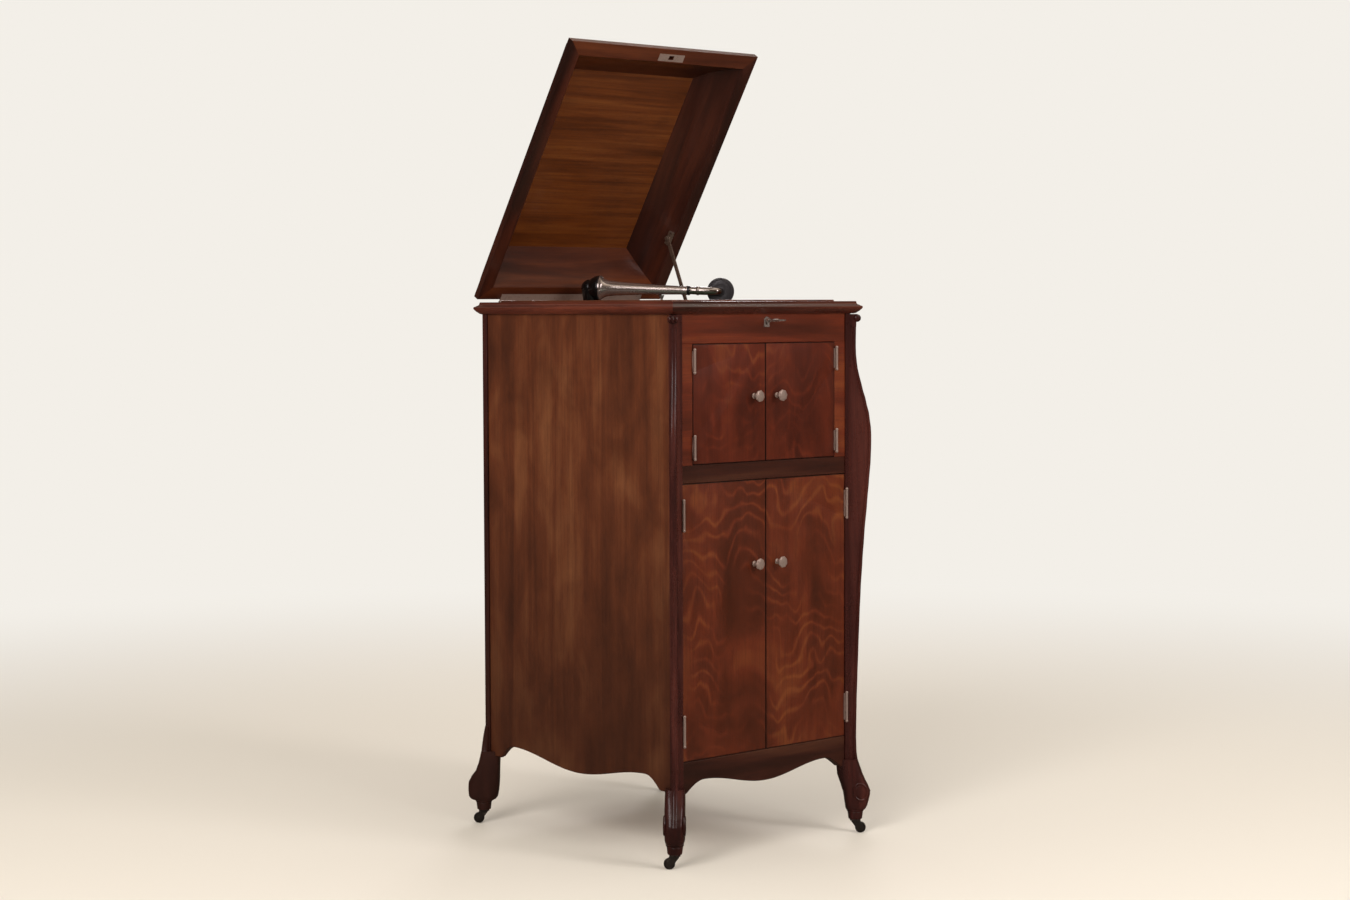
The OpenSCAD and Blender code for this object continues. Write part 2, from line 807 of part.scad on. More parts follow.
// cast throat that carries the sound from the arm's base down into the horn
module horn_throat() {
  color([0.10, 0.10, 0.10])
    difference() {
      union() {
        translate([arm_x, arm_y, throat_z])
          cylinder(h = board_top - board_t - throat_z, r = throat_r);
        translate([arm_x, arm_y, throat_z])
          sphere(r = throat_r);
        translate([arm_x, horn_back + horn_t, throat_z])
          rotate([-90, 0, 0])
            cylinder(h = arm_y - horn_back - horn_t, r = throat_r);
      }
      translate([arm_x, arm_y, throat_z])
        cylinder(h = board_top, r = throat_bore);
      translate([arm_x, arm_y, throat_z])
        sphere(r = throat_bore);
      translate([arm_x, horn_back, throat_z])
        rotate([-90, 0, 0])
          cylinder(h = arm_y - horn_back, r = throat_bore);
    }
}

module tone_louvres() {
  cheek = 5;
  low = deck_top;
  pitch = (horn_lintel - low - slat_t) / (slat_n - 1);
  color([0.34, 0.18, 0.11]) {
    both_sides()
      block([horn_mouth - cheek, louvre_y, low], [horn_mouth, louvre_y + slat_d, horn_lintel]);
    for (i = [0 : slat_n - 1])
      block([-horn_mouth + cheek, louvre_y, low + i * pitch],
            [horn_mouth - cheek, louvre_y + slat_d, low + i * pitch + slat_t]);
  }
}

// ---------- doors ----------

// a door on the right-hand side with its leaf pockets
module door(pin_x, sill, head, len, inset) {
  color([0.42, 0.20, 0.12])
    difference() {
      translate([0, 0, sill + door_gap / 2])
        linear_extrude(head - sill - door_gap)
          polygon([[door_gap / 2, front_y],
                   [pin_x - door_gap / 2, front_y], [pin_x - door_gap / 2, door_back],
                   [door_gap / 2 + meet_bevel, door_back]]);
      for (z = [sill + inset, head - inset - len])
        block([pin_x - door_gap / 2 - leaf_t, front_y - 1, z], [pin_x, front_y + leaf_w, z + len]);
    }
}

// height of the knuckle joints: a third of the hinge each, with a small gap
function third(len, i) = len * i / 3;

// the leaf and middle knuckle that ride on a door, at the height of the hinge's lower end
module door_leaf(pin_x, len) {
  x2 = pin_x - door_gap / 2;
  gap = 0.15;
  difference() {
    union() {
      block([x2 - leaf_t, pin_y + knuckle_d / 2 + 0.5, 0.1], [x2, front_y + leaf_w, len - 0.1]);
      block([x2 - leaf_t, pin_y, third(len, 1) + gap], [x2, front_y, third(len, 2) - gap]);
      translate([pin_x, pin_y, third(len, 1) + gap])
        cylinder(h = len / 3 - 2 * gap, d = knuckle_d);
    }
    translate([pin_x, pin_y, 0])
      cylinder(h = len, d = pin_d + 2 * run_gap);
  }
}

// the fixed leaf with its two end knuckles and the ball-tipped pin
module stile_leaf(pin_x, len) {
  ball = knuckle_d / 2 + 0.6;
  difference() {
    block([pin_x, pin_y + knuckle_d / 2 + 0.5, 0.1], [pin_x + leaf_t, front_y + leaf_w, len - 0.1]);
    translate([pin_x, pin_y, 0])
      cylinder(h = len, d = knuckle_d + 0.6);
  }
  for (z = [0, third(len, 2)]) {
    translate([pin_x, pin_y, z])
      cylinder(h = len / 3, d = knuckle_d);
    block([pin_x, pin_y, max(z, 0.1)], [pin_x + leaf_t, front_y, min(z + len / 3, len - 0.1)]);
  }
  translate([pin_x, pin_y, 0])
    cylinder(h = len, d = pin_d);
  for (z = [-ball * 0.6, len + ball * 0.6])
    translate([pin_x, pin_y, z])
      sphere(r = ball);
}

// an eight-sided knob on a short neck
module knob(z, turn) {
  translate([knob_x, front_y, z])
    rotate([90, 0, 0])
      rotate([0, 0, turn]) {
        cylinder(h = knob_len * 0.45, d = knob_d * 0.38);
        translate([0, 0, knob_len * 0.3])
          cylinder(h = knob_len * 0.35, d1 = knob_d * 0.5, d2 = knob_d, $fn = 8);
        translate([0, 0, knob_len * 0.65])
          cylinder(h = knob_len * 0.13, d = knob_d, $fn = 8);
        translate([0, 0, knob_len * 0.78])
          cylinder(h = knob_len * 0.22, d1 = knob_d, d2 = knob_d * 0.66, $fn = 8);
      }
}

module door_fittings(pin_x, sill, head, len, inset, knob_z, turn) {
  color(nickel) {
    knob(knob_z, turn);
    for (z = [sill + inset, head - inset - len])
      translate([0, 0, z])
        door_leaf(pin_x, len);
  }
}

module upper_right_door() {
  door(upper_pin_x, upper_sill, upper_head, upper_hinge_len, upper_hinge_in);
}

module upper_left_door() {
  mirror([1, 0, 0])
    door(upper_pin_x, upper_sill, upper_head, upper_hinge_len, upper_hinge_in);
}

module lower_right_door() {
  door(lower_pin_x, lower_sill, lower_head, lower_hinge_len, lower_hinge_in);
}

module lower_left_door() {
  mirror([1, 0, 0])
    door(lower_pin_x, lower_sill, lower_head, lower_hinge_len, lower_hinge_in);
}

module upper_right_fittings() {
  door_fittings(upper_pin_x, upper_sill, upper_head, upper_hinge_len, upper_hinge_in, upper_knob_z, 22.5);
}

module upper_left_fittings() {
  mirror([1, 0, 0])
    door_fittings(upper_pin_x, upper_sill, upper_head, upper_hinge_len, upper_hinge_in, upper_knob_z, 0);
}

module lower_right_fittings() {
  door_fittings(lower_pin_x, lower_sill, lower_head, lower_hinge_len, lower_hinge_in, lower_knob_z, 0);
}

module lower_left_fittings() {
  mirror([1, 0, 0])
    door_fittings(lower_pin_x, lower_sill, lower_head, lower_hinge_len, lower_hinge_in, lower_knob_z, 10);
}

module door_hinge_leaves() {
  color(nickel)
    both_sides() {
      for (z = [upper_sill + upper_hinge_in, upper_head - upper_hinge_in - upper_hinge_len])
        translate([0, 0, z])
          stile_leaf(upper_pin_x, upper_hinge_len);
      for (z = [lower_sill + lower_hinge_in, lower_head - lower_hinge_in - lower_hinge_len])
        translate([0, 0, z])
          stile_leaf(lower_pin_x, lower_hinge_len);
    }
}

// ---------- lid ----------

// turns a piece drawn on the closed lid to the opened lid
module opened() {
  translate([0, hinge_y, hinge_z])
    rotate([-lid_open, 0, 0])
      translate([0, -hinge_y, -hinge_z])
        children();
}

// section of the lid's frame: distance inward from its edge, height over its seat
module lid_section(from) {
  h = rim_edge_h;
  rise = lid_top_h - h;
  translate([from, lid_z])
    polygon([[0, 0], [0, h], [-5, h + 4], [-9, h + 5], [-15, h + rise * 0.18], [-24, h + rise * 0.38],
             [-33, h + rise * 0.58], [-39, h + rise * 0.68], [-41, h + rise * 0.70], [-50, h + rise * 0.80],
             [-62, h + rise * 0.94], [-70, lid_top_h], [-inner_w, lid_top_h], [-inner_w, lid_hollow],
             [-rim_w - cove_w * 0.76, lid_hollow * 0.84], [-rim_w - cove_w * 0.48, lid_hollow * 0.61],
             [-rim_w - cove_foot_w, cove_foot_h], [-rim_w, 0]]);
}

module lid_frame() {
  mid = (lid_front + lid_rear) / 2;
  deep = (lid_rear - lid_front) / 2;
  color([0.35, 0.18, 0.11])
    opened()
      difference() {
        union() {
          translate([0, mid, 0]) {
            mitred(lid_w, deep, inner_w)
              lid_section(deep);
            mirror([0, 1, 0])
              mitred(lid_w, deep, inner_w)
                lid_section(deep);
            both_sides()
              rotate([0, 0, 90])
                mitred(deep, lid_w, inner_w)
                  lid_section(lid_w);
          }
        }
        block([-lid_hinge_len / 2, lid_rear - lid_leaf_w, lid_z - 1],
              [lid_hinge_len / 2, lid_rear + 1, lid_z + leaf_t]);
        block([bolt_x - strike_w / 2, lock_y - strike_d / 2, lid_z - 1],
              [bolt_x + strike_w / 2, lock_y + strike_d / 2, lid_z + 1.5]);
        block([bolt_x - 7, lock_y - 4.5, lid_z], [bolt_x + 7, lock_y + 4.5, lid_z + 12]);
        translate([stay_x, stay_y, lid_z + stay_h])
          rotate([0, 90, 0])
            cylinder(h = 24, d = stay_stud_d + 2 * run_gap);
      }
}

module lid_panel() {
  color([0.48, 0.26, 0.14])
    opened()
      block([-lid_w + inner_w, lid_front + inner_w, lid_z + lid_hollow],
            [lid_w - inner_w, lid_rear - inner_w, lid_z + lid_top_h]);
}

// one row of hinge knuckles: parity 0 belongs to the moulding, parity 1 to the lid
module lid_knuckles(parity, d) {
  pitch = lid_hinge_len / lid_knuckle_n;
  for (i = [0 : lid_knuckle_n - 1])
    if (i % 2 == parity)
      translate([-lid_hinge_len / 2 + i * pitch + 0.15, hinge_y, hinge_z])
        rotate([0, 90, 0])
          cylinder(h = pitch - 0.3, d = d);
}

// webs that join every knuckle of one parity to its leaf
module lid_webs(parity, z1, z2) {
  pitch = lid_hinge_len / lid_knuckle_n;
  for (i = [0 : lid_knuckle_n - 1])
    if (i % 2 == parity)
      translate([-lid_hinge_len / 2 + i * pitch + 0.15, 0, 0])
        block([0, hinge_y - 4.5, z1], [pitch - 0.3, hinge_y, z2]);
}

module lid_hinge_leaf() {
  reach = lid_knuckle_d / 2 + 0.4;
  color(nickel) {
    block([-lid_hinge_len / 2, hinge_y - lid_leaf_w - lid_set, top_z - leaf_t],
          [lid_hinge_len / 2, hinge_y - reach, top_z]);
    lid_webs(0, top_z - leaf_t, top_z);
    lid_knuckles(0, lid_knuckle_d);
    translate([-lid_hinge_len / 2, hinge_y, hinge_z])
      rotate([0, 90, 0])
        cylinder(h = lid_hinge_len, d = pin_d);
  }
}

// lid-side pieces of nickel: the hinge's moving leaf, the strike plate and the stay's bracket with its stud
module lid_fittings() {
  reach = lid_knuckle_d / 2 + 0.4;
  slope = cove_foot_w / cove_foot_h;
  wall = lid_w - rim_w;
  plate_x = stay_x + stay_t / 2 + 0.6;
  color(nickel)
    opened() {
      difference() {
        union() {
          block([-lid_hinge_len / 2, lid_rear - lid_leaf_w, lid_z],
                [lid_hinge_len / 2, hinge_y - reach, lid_z + leaf_t]);
          lid_webs(1, lid_z, lid_z + leaf_t);
          lid_knuckles(1, lid_knuckle_d);
        }
        translate([-lid_hinge_len / 2 - 1, hinge_y, hinge_z])
          rotate([0, 90, 0])
            cylinder(h = lid_hinge_len + 2, d = pin_d + 2 * run_gap);
      }
      difference() {
        block([bolt_x - strike_w / 2, lock_y - strike_d / 2, lid_z],
              [bolt_x + strike_w / 2, lock_y + strike_d / 2, lid_z + 1.5]);
        block([bolt_x - 7, lock_y - 4.5, lid_z - 1], [bolt_x + 7, lock_y + 4.5, lid_z + 3]);
      }
      along_y(stay_y - 15, stay_y + 15)
        polygon([[plate_x, lid_z + 3], [wall - 3 * slope, lid_z + 3], [wall - 13 * slope, lid_z + 13],
                 [plate_x, lid_z + 13]]);
      translate([stay_x - stay_t / 2 - 2, stay_y, lid_z + stay_h])
        rotate([0, 90, 0])
          cylinder(h = stay_t + 22, d = stay_stud_d);
      translate([stay_x - stay_t / 2 - 3.5, stay_y, lid_z + stay_h])
        rotate([0, 90, 0])
          cylinder(h = 3, d = stay_stud_d * 2);
    }
}

// flat bar that hangs from the lid's stud and slides down through the motor board
module stay_bar() {
  color([0.70, 0.67, 0.64])
    translate([stay_x, stay_ry, stay_rz])
      rotate([-stay_lean, 0, 0])
        difference() {
          union() {
            rotate([0, 90, 0])
              cylinder(h = stay_t, d = stay_w + 3, center = true);
            block([-stay_t / 2, -stay_w / 2, -stay_len], [stay_t / 2, stay_w / 2, 0]);
          }
          rotate([0, 90, 0])
            cylinder(h = stay_t + 2, d = stay_stud_d + 2 * run_gap, center = true);
        }
}

// ---------- lock ----------

// keyhole cut from y1 to y2
module keyhole(y1, y2) {
  translate([key_x, y2, key_z])
    rotate([90, 0, 0])
      cylinder(h = y2 - y1, d = key_d + 2);
  block([key_x - 1.6, y1, key_z - 9], [key_x + 1.6, y2, key_z]);
}

module lock_case() {
  left = bolt_x - 37;
  right = bolt_x + 15;
  plate_w = 14;
  color([0.72, 0.70, 0.66]) {
    difference() {
      block([left, front_y + 3, key_z - 15], [right, rail_back, case_top]);
      block([bolt_x - 4.3, lock_y - 2.8, case_top - 14.3], [bolt_x + 4.3, lock_y + 2.8, case_top + 1]);
      translate([key_x, front_y + 13, key_z])
        rotate([90, 0, 0])
          cylinder(h = 8, d = 18.6);
      keyhole(front_y + 2, front_y + 8);
    }
    difference() {
      union() {
        block([key_x - plate_w / 2, front_y - 1.2, key_z - 13], [key_x + plate_w / 2, front_y, key_z + 1]);
        translate([key_x, front_y, key_z])
          rotate([90, 0, 0])
            cylinder(h = 1.2, d = plate_w);
      }
      keyhole(front_y - 2, front_y + 1);
    }
  }
}

module lock_bolt() {
  color([0.72, 0.70, 0.66])
    block([bolt_x - 4, lock_y - 2.5, case_top - 14], [bolt_x + 4, lock_y + 2.5, top_z - 1]);
}

module key() {
  bow_r = 9;
  color(nickel)
    translate([key_x, front_y, key_z])
      rotate([90, 0, 0]) {
        translate([0, 0, -9])
          cylinder(h = key_len - 2 * bow_r + 11, d = key_d);
        translate([0, 0, 2.5])
          cylinder(h = 6, d = key_d * 1.7);
        translate([0, 0, -9])
          block([-1.2, -7.5, 0], [1.2, 0, 3.4]);
        translate([0, 0, key_len - bow_r])
          rotate([90, 0, 0])
            difference() {
              cylinder(h = 3, r = bow_r, center = true);
              cylinder(h = 5, r = bow_r * 0.55, center = true);
            }
      }
}

// ---------- turntable and clockwork ----------

module platter() {
  hub_r = 14;
  color([0.55, 0.53, 0.52])
    translate([0, spindle_y, 0])
      difference() {
        translate([0, 0, platter_z - platter_rim])
          cylinder(h = platter_rim, d = platter_d, $fn = 96);
        translate([0, 0, platter_z - platter_rim - 1])
          difference() {
            cylinder(h = platter_rim - 2, d = platter_d - 8, $fn = 96);
            cylinder(h = platter_rim, r = hub_r);
          }
        translate([0, 0, platter_z - platter_rim - 1])
          cylinder(h = platter_rim + 2, d = shaft_d + 2 * run_gap);
      }
}

module felt_disc() {
  color([0.16, 0.30, 0.16])
    translate([0, spindle_y, platter_z])
      difference() {
        cylinder(h = felt_t, d = platter_d - 4, $fn = 96);
        translate([0, 0, -1])
          cylinder(h = felt_t + 2, d = shaft_d + 1);
      }
}

// a spur wheel with n teeth of module m; turn sets the place of its first tooth
module spur(n, m, t, turn) {
  pitch_r = n * m / 2;
  root_r = pitch_r - 0.95 * m;
  tip_r = pitch_r + 0.6 * m;
  a = 360 / n;
  rotate([0, 0, turn])
    linear_extrude(t)
      polygon([for (i = [0 : n - 1]) each [
        [root_r * cos(a * (i - 0.30)), root_r * sin(a * (i - 0.30))],
        [tip_r * cos(a * (i - 0.10)), tip_r * sin(a * (i - 0.10))],
        [tip_r * cos(a * (i + 0.10)), tip_r * sin(a * (i + 0.10))],
        [root_r * cos(a * (i + 0.30)), root_r * sin(a * (i + 0.30))]]]);
}

module spindle() {
  r = spindle_d / 2;
  tip = felt_z + spindle_up;
  color([0.70, 0.68, 0.66])
    translate([0, spindle_y, 0]) {
      translate([0, 0, low_plate_z + 1])
        cylinder(h = felt_z - 0.2 - low_plate_z - 1, d = shaft_d);
      translate([0, 0, felt_z - 1])
        cylinder(h = 2, r = r - 0.3);
      translate([0, 0, felt_z + 0.3])
        cylinder(h = spindle_up - 2.3, r = r);
      translate([0, 0, tip - 2])
        cylinder(h = 2, r1 = r, r2 = r - 1.6);
      translate([0, 0, middle_z - 1])
        spur(pinion_teeth, middle_module, wheel_t + 2, 180);
      translate([0, 0, governor_z - 3])
        cylinder(h = 6, r = governor_wheel_r);
      translate([0, 0, platter_z - platter_rim - 2])
        cylinder(h = 1.8, r = shaft_d / 2 + 3);
    }
}

// two iron plates on pillars, hung under the motor board
module motor_frame() {
  lug_x = motor_x2 - 14;
  color([0.25, 0.24, 0.23])
    difference() {
      union() {
        for (z = [plate_z, low_plate_z])
          block([motor_x1, motor_y1, z], [motor_x2, motor_y2, z + plate_t]);
        for (x = [motor_x1 + 8, motor_x2 - 8], y = [motor_y1 + 8, motor_y2 - 8])
          translate([x, y, low_plate_z])
            cylinder(h = board_top - board_t - low_plate_z, r = 5);
        block([lug_x, barrel_y - 9, shaft_z - 9], [lug_x + 8, barrel_y + 9, plate_z]);
        for (x = [-44, 62])
          block([x, governor_y - 5, low_plate_z], [x + 4, governor_y + 5, governor_z + 6]);
        block([motor_x2 - 1, governor_y - 5, low_plate_z], [66, governor_y + 5, low_plate_z + plate_t]);
      }
      translate([0, spindle_y, low_plate_z + 0.9])
        cylinder(h = board_top - low_plate_z, d = shaft_d + 2 * run_gap);
      translate([middle_x, spindle_y, low_plate_z + 1.9])
        cylinder(h = board_top - low_plate_z, d = arbor_d + 2 * run_gap);
      translate([middle_x, barrel_y, low_plate_z + 1.9])
        cylinder(h = board_top - low_plate_z, d = arbor_d + 2 * run_gap);
      translate([lug_x - 1, barrel_y, shaft_z])
        rotate([0, 90, 0])
          cylinder(h = 10, d = crank_d + 2 * run_gap);
      translate([-60, governor_y, governor_z])
        rotate([0, 90, 0])
          cylinder(h = great_r + 95, d = 4 + 2 * run_gap);
    }
}

// drum with its great wheel, and the mainspring coiled inside it
module spring_barrel() {
  wall = 2;
  inner = barrel_d / 2 - wall;
  strip = 1;
  start = arbor_d / 2 + 3;
  steps = spring_turns * 12;
  pitch = (inner + 0.5 - start - strip) / steps;
  color([0.60, 0.48, 0.25])
    translate([middle_x, barrel_y, 0]) {
      difference() {
        union() {
          translate([0, 0, barrel_z])
            cylinder(h = barrel_h, d = barrel_d);
          translate([0, 0, great_z])
            spur(wheel_teeth, great_module, wheel_t, -90);
        }
        translate([0, 0, barrel_z + wall])
          cylinder(h = barrel_h - 2 * wall, r = inner);
        translate([0, 0, barrel_z - 1])
          cylinder(h = barrel_h + wheel_t + 2, d = arbor_d + 2 * run_gap);
      }
      translate([0, 0, barrel_z + wall + 2])
        linear_extrude(barrel_h - 2 * wall - 4)
          polygon(concat(
            [for (i = [0 : steps]) [(start + pitch * i) * cos(30 * i), (start + pitch * i) * sin(30 * i)]],
            [for (i = [steps : -1 : 0])
                  [(start + strip + pitch * i) * cos(30 * i), (start + strip + pitch * i) * sin(30 * i)]]));
    }
}

module middle_wheel() {
  color([0.68, 0.55, 0.28])
    translate([middle_x, spindle_y, 0]) {
      translate([0, 0, low_plate_z + 2])
        cylinder(h = plate_z + plate_t - low_plate_z - 3, d = arbor_d);
      translate([0, 0, great_z - 1])
        spur(pinion_teeth, great_module, wheel_t + 2, 90 + 180 / pinion_teeth);
      translate([0, 0, middle_z])
        spur(wheel_teeth, middle_module, wheel_t, 180 / wheel_teeth);
    }
}

// governor shaft with its worm, sliding disc and three weights
module governor() {
  color([0.68, 0.55, 0.28])
    translate([0, governor_y, governor_z])
      rotate([0, 90, 0]) {
        translate([0, 0, -43])
          cylinder(h = 108, d = 4);
        translate([0, 0, -14])
          cylinder(h = 28, r = worm_r);
        translate([0, 0, 52])
          cylinder(h = 2.5, r = 15);
        translate([0, 0, 20])
          cylinder(h = 5, r = 6);
        for (a = [0, 120, 240])
          rotate([0, 0, a]) {
            translate([9, 0, 34])
              sphere(r = 5);
            block([8.4, -2, 24], [9.6, 2, 53]);
            block([2, -2, 22], [9.6, 2, 24.5]);
          }
      }
}

module winding_arbor() {
  n = 24;
  color([0.62, 0.60, 0.58])
    translate([middle_x, barrel_y, 0]) {
      translate([0, 0, low_plate_z + 2])
        cylinder(h = crown_z + wheel_t - low_plate_z - 2, d = arbor_d);
      translate([0, 0, crown_z])
        difference() {
          cylinder(h = wheel_t, r = crown_r);
          for (i = [0 : n - 1])
            rotate([0, 0, i * 360 / n])
              translate([crown_r - 6, -1, wheel_t - 1.5])
                cube([8, 2, 3]);
        }
    }
}

// winding shaft with its pinion, the cranked arm and the grip's pin in one forging
module crank() {
  start = middle_x + crown_r - 6;
  arm_in = grip_x - 6;
  color([0.74, 0.71, 0.69])
    translate([0, barrel_y, shaft_z]) {
      translate([start, 0, 0])
        rotate([0, 90, 0])
          cylinder(h = grip_x + 2 - start, d = crank_d);
      translate([start, 0, 0])
        rotate([0, 90, 0])
          spur(12, bevel_r / 6.6, 7, 0);
      translate([arm_in - 4, 0, 0])
        rotate([0, 90, 0])
          cylinder(h = 12, d = crank_d * 2);
      block([arm_in, -6, -crank_throw], [arm_in + 6, 6, 0]);
      translate([arm_in, 0, -crank_throw])
        rotate([0, 90, 0])
          cylinder(h = 6, d = 18);
      translate([arm_in, 0, -crank_throw])
        rotate([0, 90, 0])
          cylinder(h = grip_len + 10, d = 8);
      translate([arm_in + grip_len + 8, 0, -crank_throw])
        rotate([0, 90, 0])
          cylinder(h = 3, d = 13);
    }
}

module crank_grip() {
  r = grip_d / 2;
  color([0.20, 0.10, 0.06])
    translate([grip_x + 0.8, barrel_y, shaft_z - crank_throw])
      rotate([0, 90, 0])
        rotate_extrude()
          polygon([[4 + run_gap, 0], [r - 3, 0], [r - 2, 2], [r - 3, 6], [r - 1, grip_len * 0.35],
                   [r, grip_len * 0.6], [r - 1, grip_len * 0.85],
                   [r - 4, grip_len], [4 + run_gap, grip_len]]);
}

// ---------- tone arm ----------

// the tone arm's own frame: X along the arm, Y to its left, origin on its axis over the pivot
module arm_frame() {
  translate([arm_x, arm_y, arm_z])
    rotate([0, 0, arm_turn])
      rotate([0, arm_tilt, 0])
        children();
}

// a solid of revolution about the arm's axis from (radius, distance) points
module turned() {
  rotate([0, 90, 0])
    rotate_extrude()
      children();
}

pipe_r = 12.5;
pipe_bore = 9;
hood_r = 17.6;

module arm_base() {
  color([0.08, 0.08, 0.08])
    translate([arm_x, arm_y, board_top])
      rotate_extrude()
        polygon([[pipe_r + run_gap, 0], [28, 0], [28, 2.5], [26, 5], [20, 7], [18, 10], [17, 22],
                 [pipe_r + run_gap, 22]]);
}

// black cast elbow: a pipe that turns in the base and swells to the flange of the arm
module arm_elbow() {
  color([0.06, 0.06, 0.06])
    difference() {
      union() {
        translate([arm_x, arm_y, board_top + 1])
          cylinder(h = arm_z - board_top - 10, r = pipe_r);
        translate([arm_x, arm_y, board_top + 22.2])
          cylinder(h = 4, r = pipe_r + 3.5);
        translate([arm_x, arm_y, arm_z - 34])
          cylinder(h = 34, r1 = pipe_r, r2 = hood_r - 0.6);
        arm_frame() {
          sphere(r = hood_r);
          turned()
            polygon([[0, 0], [hood_r - 0.4, 0], [hood_r + 2.6, 4], [bell_r - 3.4, 9], [bell_r - 1.2, 14],
                     [bell_r, 19], [bell_r, 22], [0, 22]]);
        }
      }
      translate([arm_x, arm_y, board_top])
        cylinder(h = arm_z - board_top, r = pipe_bore);
      arm_frame() {
        sphere(r = pipe_bore + 1);
        rotate([0, 90, 0])
          cylinder(h = 40, r = pipe_bore);
      }
    }
}

swivel_at = 197;
collar_len = 12;

module arm_tube() {
  color(nickel)
    arm_frame()
      turned()
        polygon([[pipe_bore, 22.2], [bell_r, 22.2], [bell_r, 25], [bell_r - 5, 29], [tube_r + 4, 37],
                 [tube_r + 1, 46], [tube_r, 58], [tube_end_r, swivel_at], [tube_end_r + 1, swivel_at + 0.5],
                 [tube_end_r + 1, swivel_at + collar_len], [neck_r + run_gap, swivel_at + collar_len],
                 [neck_r + run_gap, swivel_at - 4], [tube_r - tube_wall, 58], [pipe_bore, 40]]);
}

neck_bend = 14;

module gooseneck() {
  straight = arm_len - neck_bend - swivel_at;
  color(nickel)
    arm_frame()
      difference() {
        union() {
          translate([swivel_at - 3, 0, 0])
            rotate([0, 90, 0])
              cylinder(h = straight + 3, r = neck_r);
          translate([swivel_at + collar_len + 0.3, 0, 0])
            rotate([0, 90, 0])
              cylinder(h = 7, r = neck_r + 2);
          translate([swivel_at + collar_len + 22, 0, 0])
            rotate([0, 90, 0])
              cylinder(h = 5, r = neck_r + 1.2);
          translate([arm_len - neck_bend, neck_bend, 0])
            rotate([0, 0, -90])
              rotate_extrude(angle = 90)
                translate([neck_bend, 0])
                  circle(r = neck_r);
        }
        translate([swivel_at - 4, 0, 0])
          rotate([0, 90, 0])
            cylinder(h = straight + 3, r = neck_r - tube_wall);
      }
}

// round sound box with its rim, needle bar and needle
module sound_box() {
  needle_d = 1.8;
  color([0.30, 0.28, 0.30])
    arm_frame()
      translate([arm_len, neck_bend, 0]) {
        rotate([-90, 0, 0])
          rotate_extrude()
            polygon([[0, 0], [9, 0], [9, 2], [box_r - 5, 3], [box_r, 4.5], [box_r, box_t - 1],
                     [box_r - 2, box_t], [box_r - 4, box_t], [box_r - 4, box_t - 2], [0, box_t - 2]]);
        block([-1.5, box_t - 2, -box_r - 4], [1.5, box_t + 1, 0]);
        translate([0, box_t / 2, -box_r - 7])
          rotate([-90, 0, 0])
            cylinder(h = box_t / 2 + 1, d = 6);
        block([-4, box_t / 2 - 3, -box_r - 8], [4, box_t / 2 + 3, -box_r + 2]);
        translate([0, box_t / 2, -box_r - 6])
          rotate([0, 155, 0])
            cylinder(h = needle_len, d = needle_d);
      }
}

// ---------- fittings on the board ----------

brake_x = 49 - well_half_w;
brake_y = -150;

module brake_lever() {
  away = norm([brake_x, brake_y - spindle_y]);
  aim = atan2(spindle_y - brake_y, -brake_x);
  color(nickel)
    translate([brake_x, brake_y, 0])
      rotate([0, 0, aim]) {
        translate([0, 0, board_top + 0.3])
          cylinder(h = 9, d = 12);
        block([0, -4, board_top + 4], [away - platter_d / 2 - 3.6, 4, board_top + 9]);
        block([away - platter_d / 2 - 4.6, -7, board_top + 4],
              [away - platter_d / 2 - 1, 7, board_top + 12]);
        block([-24, -3, board_top + 4], [0, 3, board_top + 7]);
      }
}

dial_x = well_half_w - 64;
dial_y = 42 - well_half_d;

module speed_knob() {
  color(nickel)
    translate([dial_x, dial_y, board_top + 1.3]) {
      cylinder(h = 3, d = 14);
      translate([0, 0, 3])
        cylinder(h = 6, d = 18);
      block([0, -1.2, 0], [17, 1.2, 2]);
    }
}

rest_t = 154;
cup_x = 29 - well_half_w;

// small fixed nickel pieces: arm rest, needle cups, speed dial plate and the crank's rosette
module fixed_fittings() {
  rest_r = tube_r + (tube_end_r - tube_r) * (rest_t - 58) / (swivel_at - 58);
  rest_z = arm_z - rest_t * sin(arm_tilt) - rest_r - body_gap;
  color(nickel) {
    translate([arm_x + rest_t * cos(arm_turn), arm_y + rest_t * sin(arm_turn), board_top]) {
      cylinder(h = 3, d = 18);
      cylinder(h = rest_z - board_top - 1.5, d = 5);
      translate([0, 0, rest_z - board_top - 8])
        cylinder(h = 7, d1 = 6, d2 = 12);
    }
    for (x = [cup_x, cup_x + 45])
      translate([x, arm_y - 32, board_top])
        difference() {
          cylinder(h = 9, d = 34);
          translate([0, 0, 3])
            cylinder(h = 9, d1 = 24, d2 = 32);
        }
    translate([dial_x, dial_y, board_top])
      cylinder(h = 1, d = 40);
    translate([half_w, barrel_y, shaft_z])
      rotate([0, 90, 0])
        difference() {
          cylinder(h = 3, d = 34);
          translate([0, 0, -1])
            cylinder(h = 5, d = crank_d + 2 * run_gap);
        }
  }
}

// ---------- casters ----------

module caster_sockets() {
  color([0.45, 0.42, 0.38])
    for (sx = [-1, 1], sy = [-1, 1])
      at_corner(sx, sy)
        translate([ankle_r, 0, leg_foot])
          difference() {
            cylinder(h = 31, d = stem_d + 3);
            translate([0, 0, -1])
              cylinder(h = 31, d = stem_d + 2 * run_gap);
          }
}

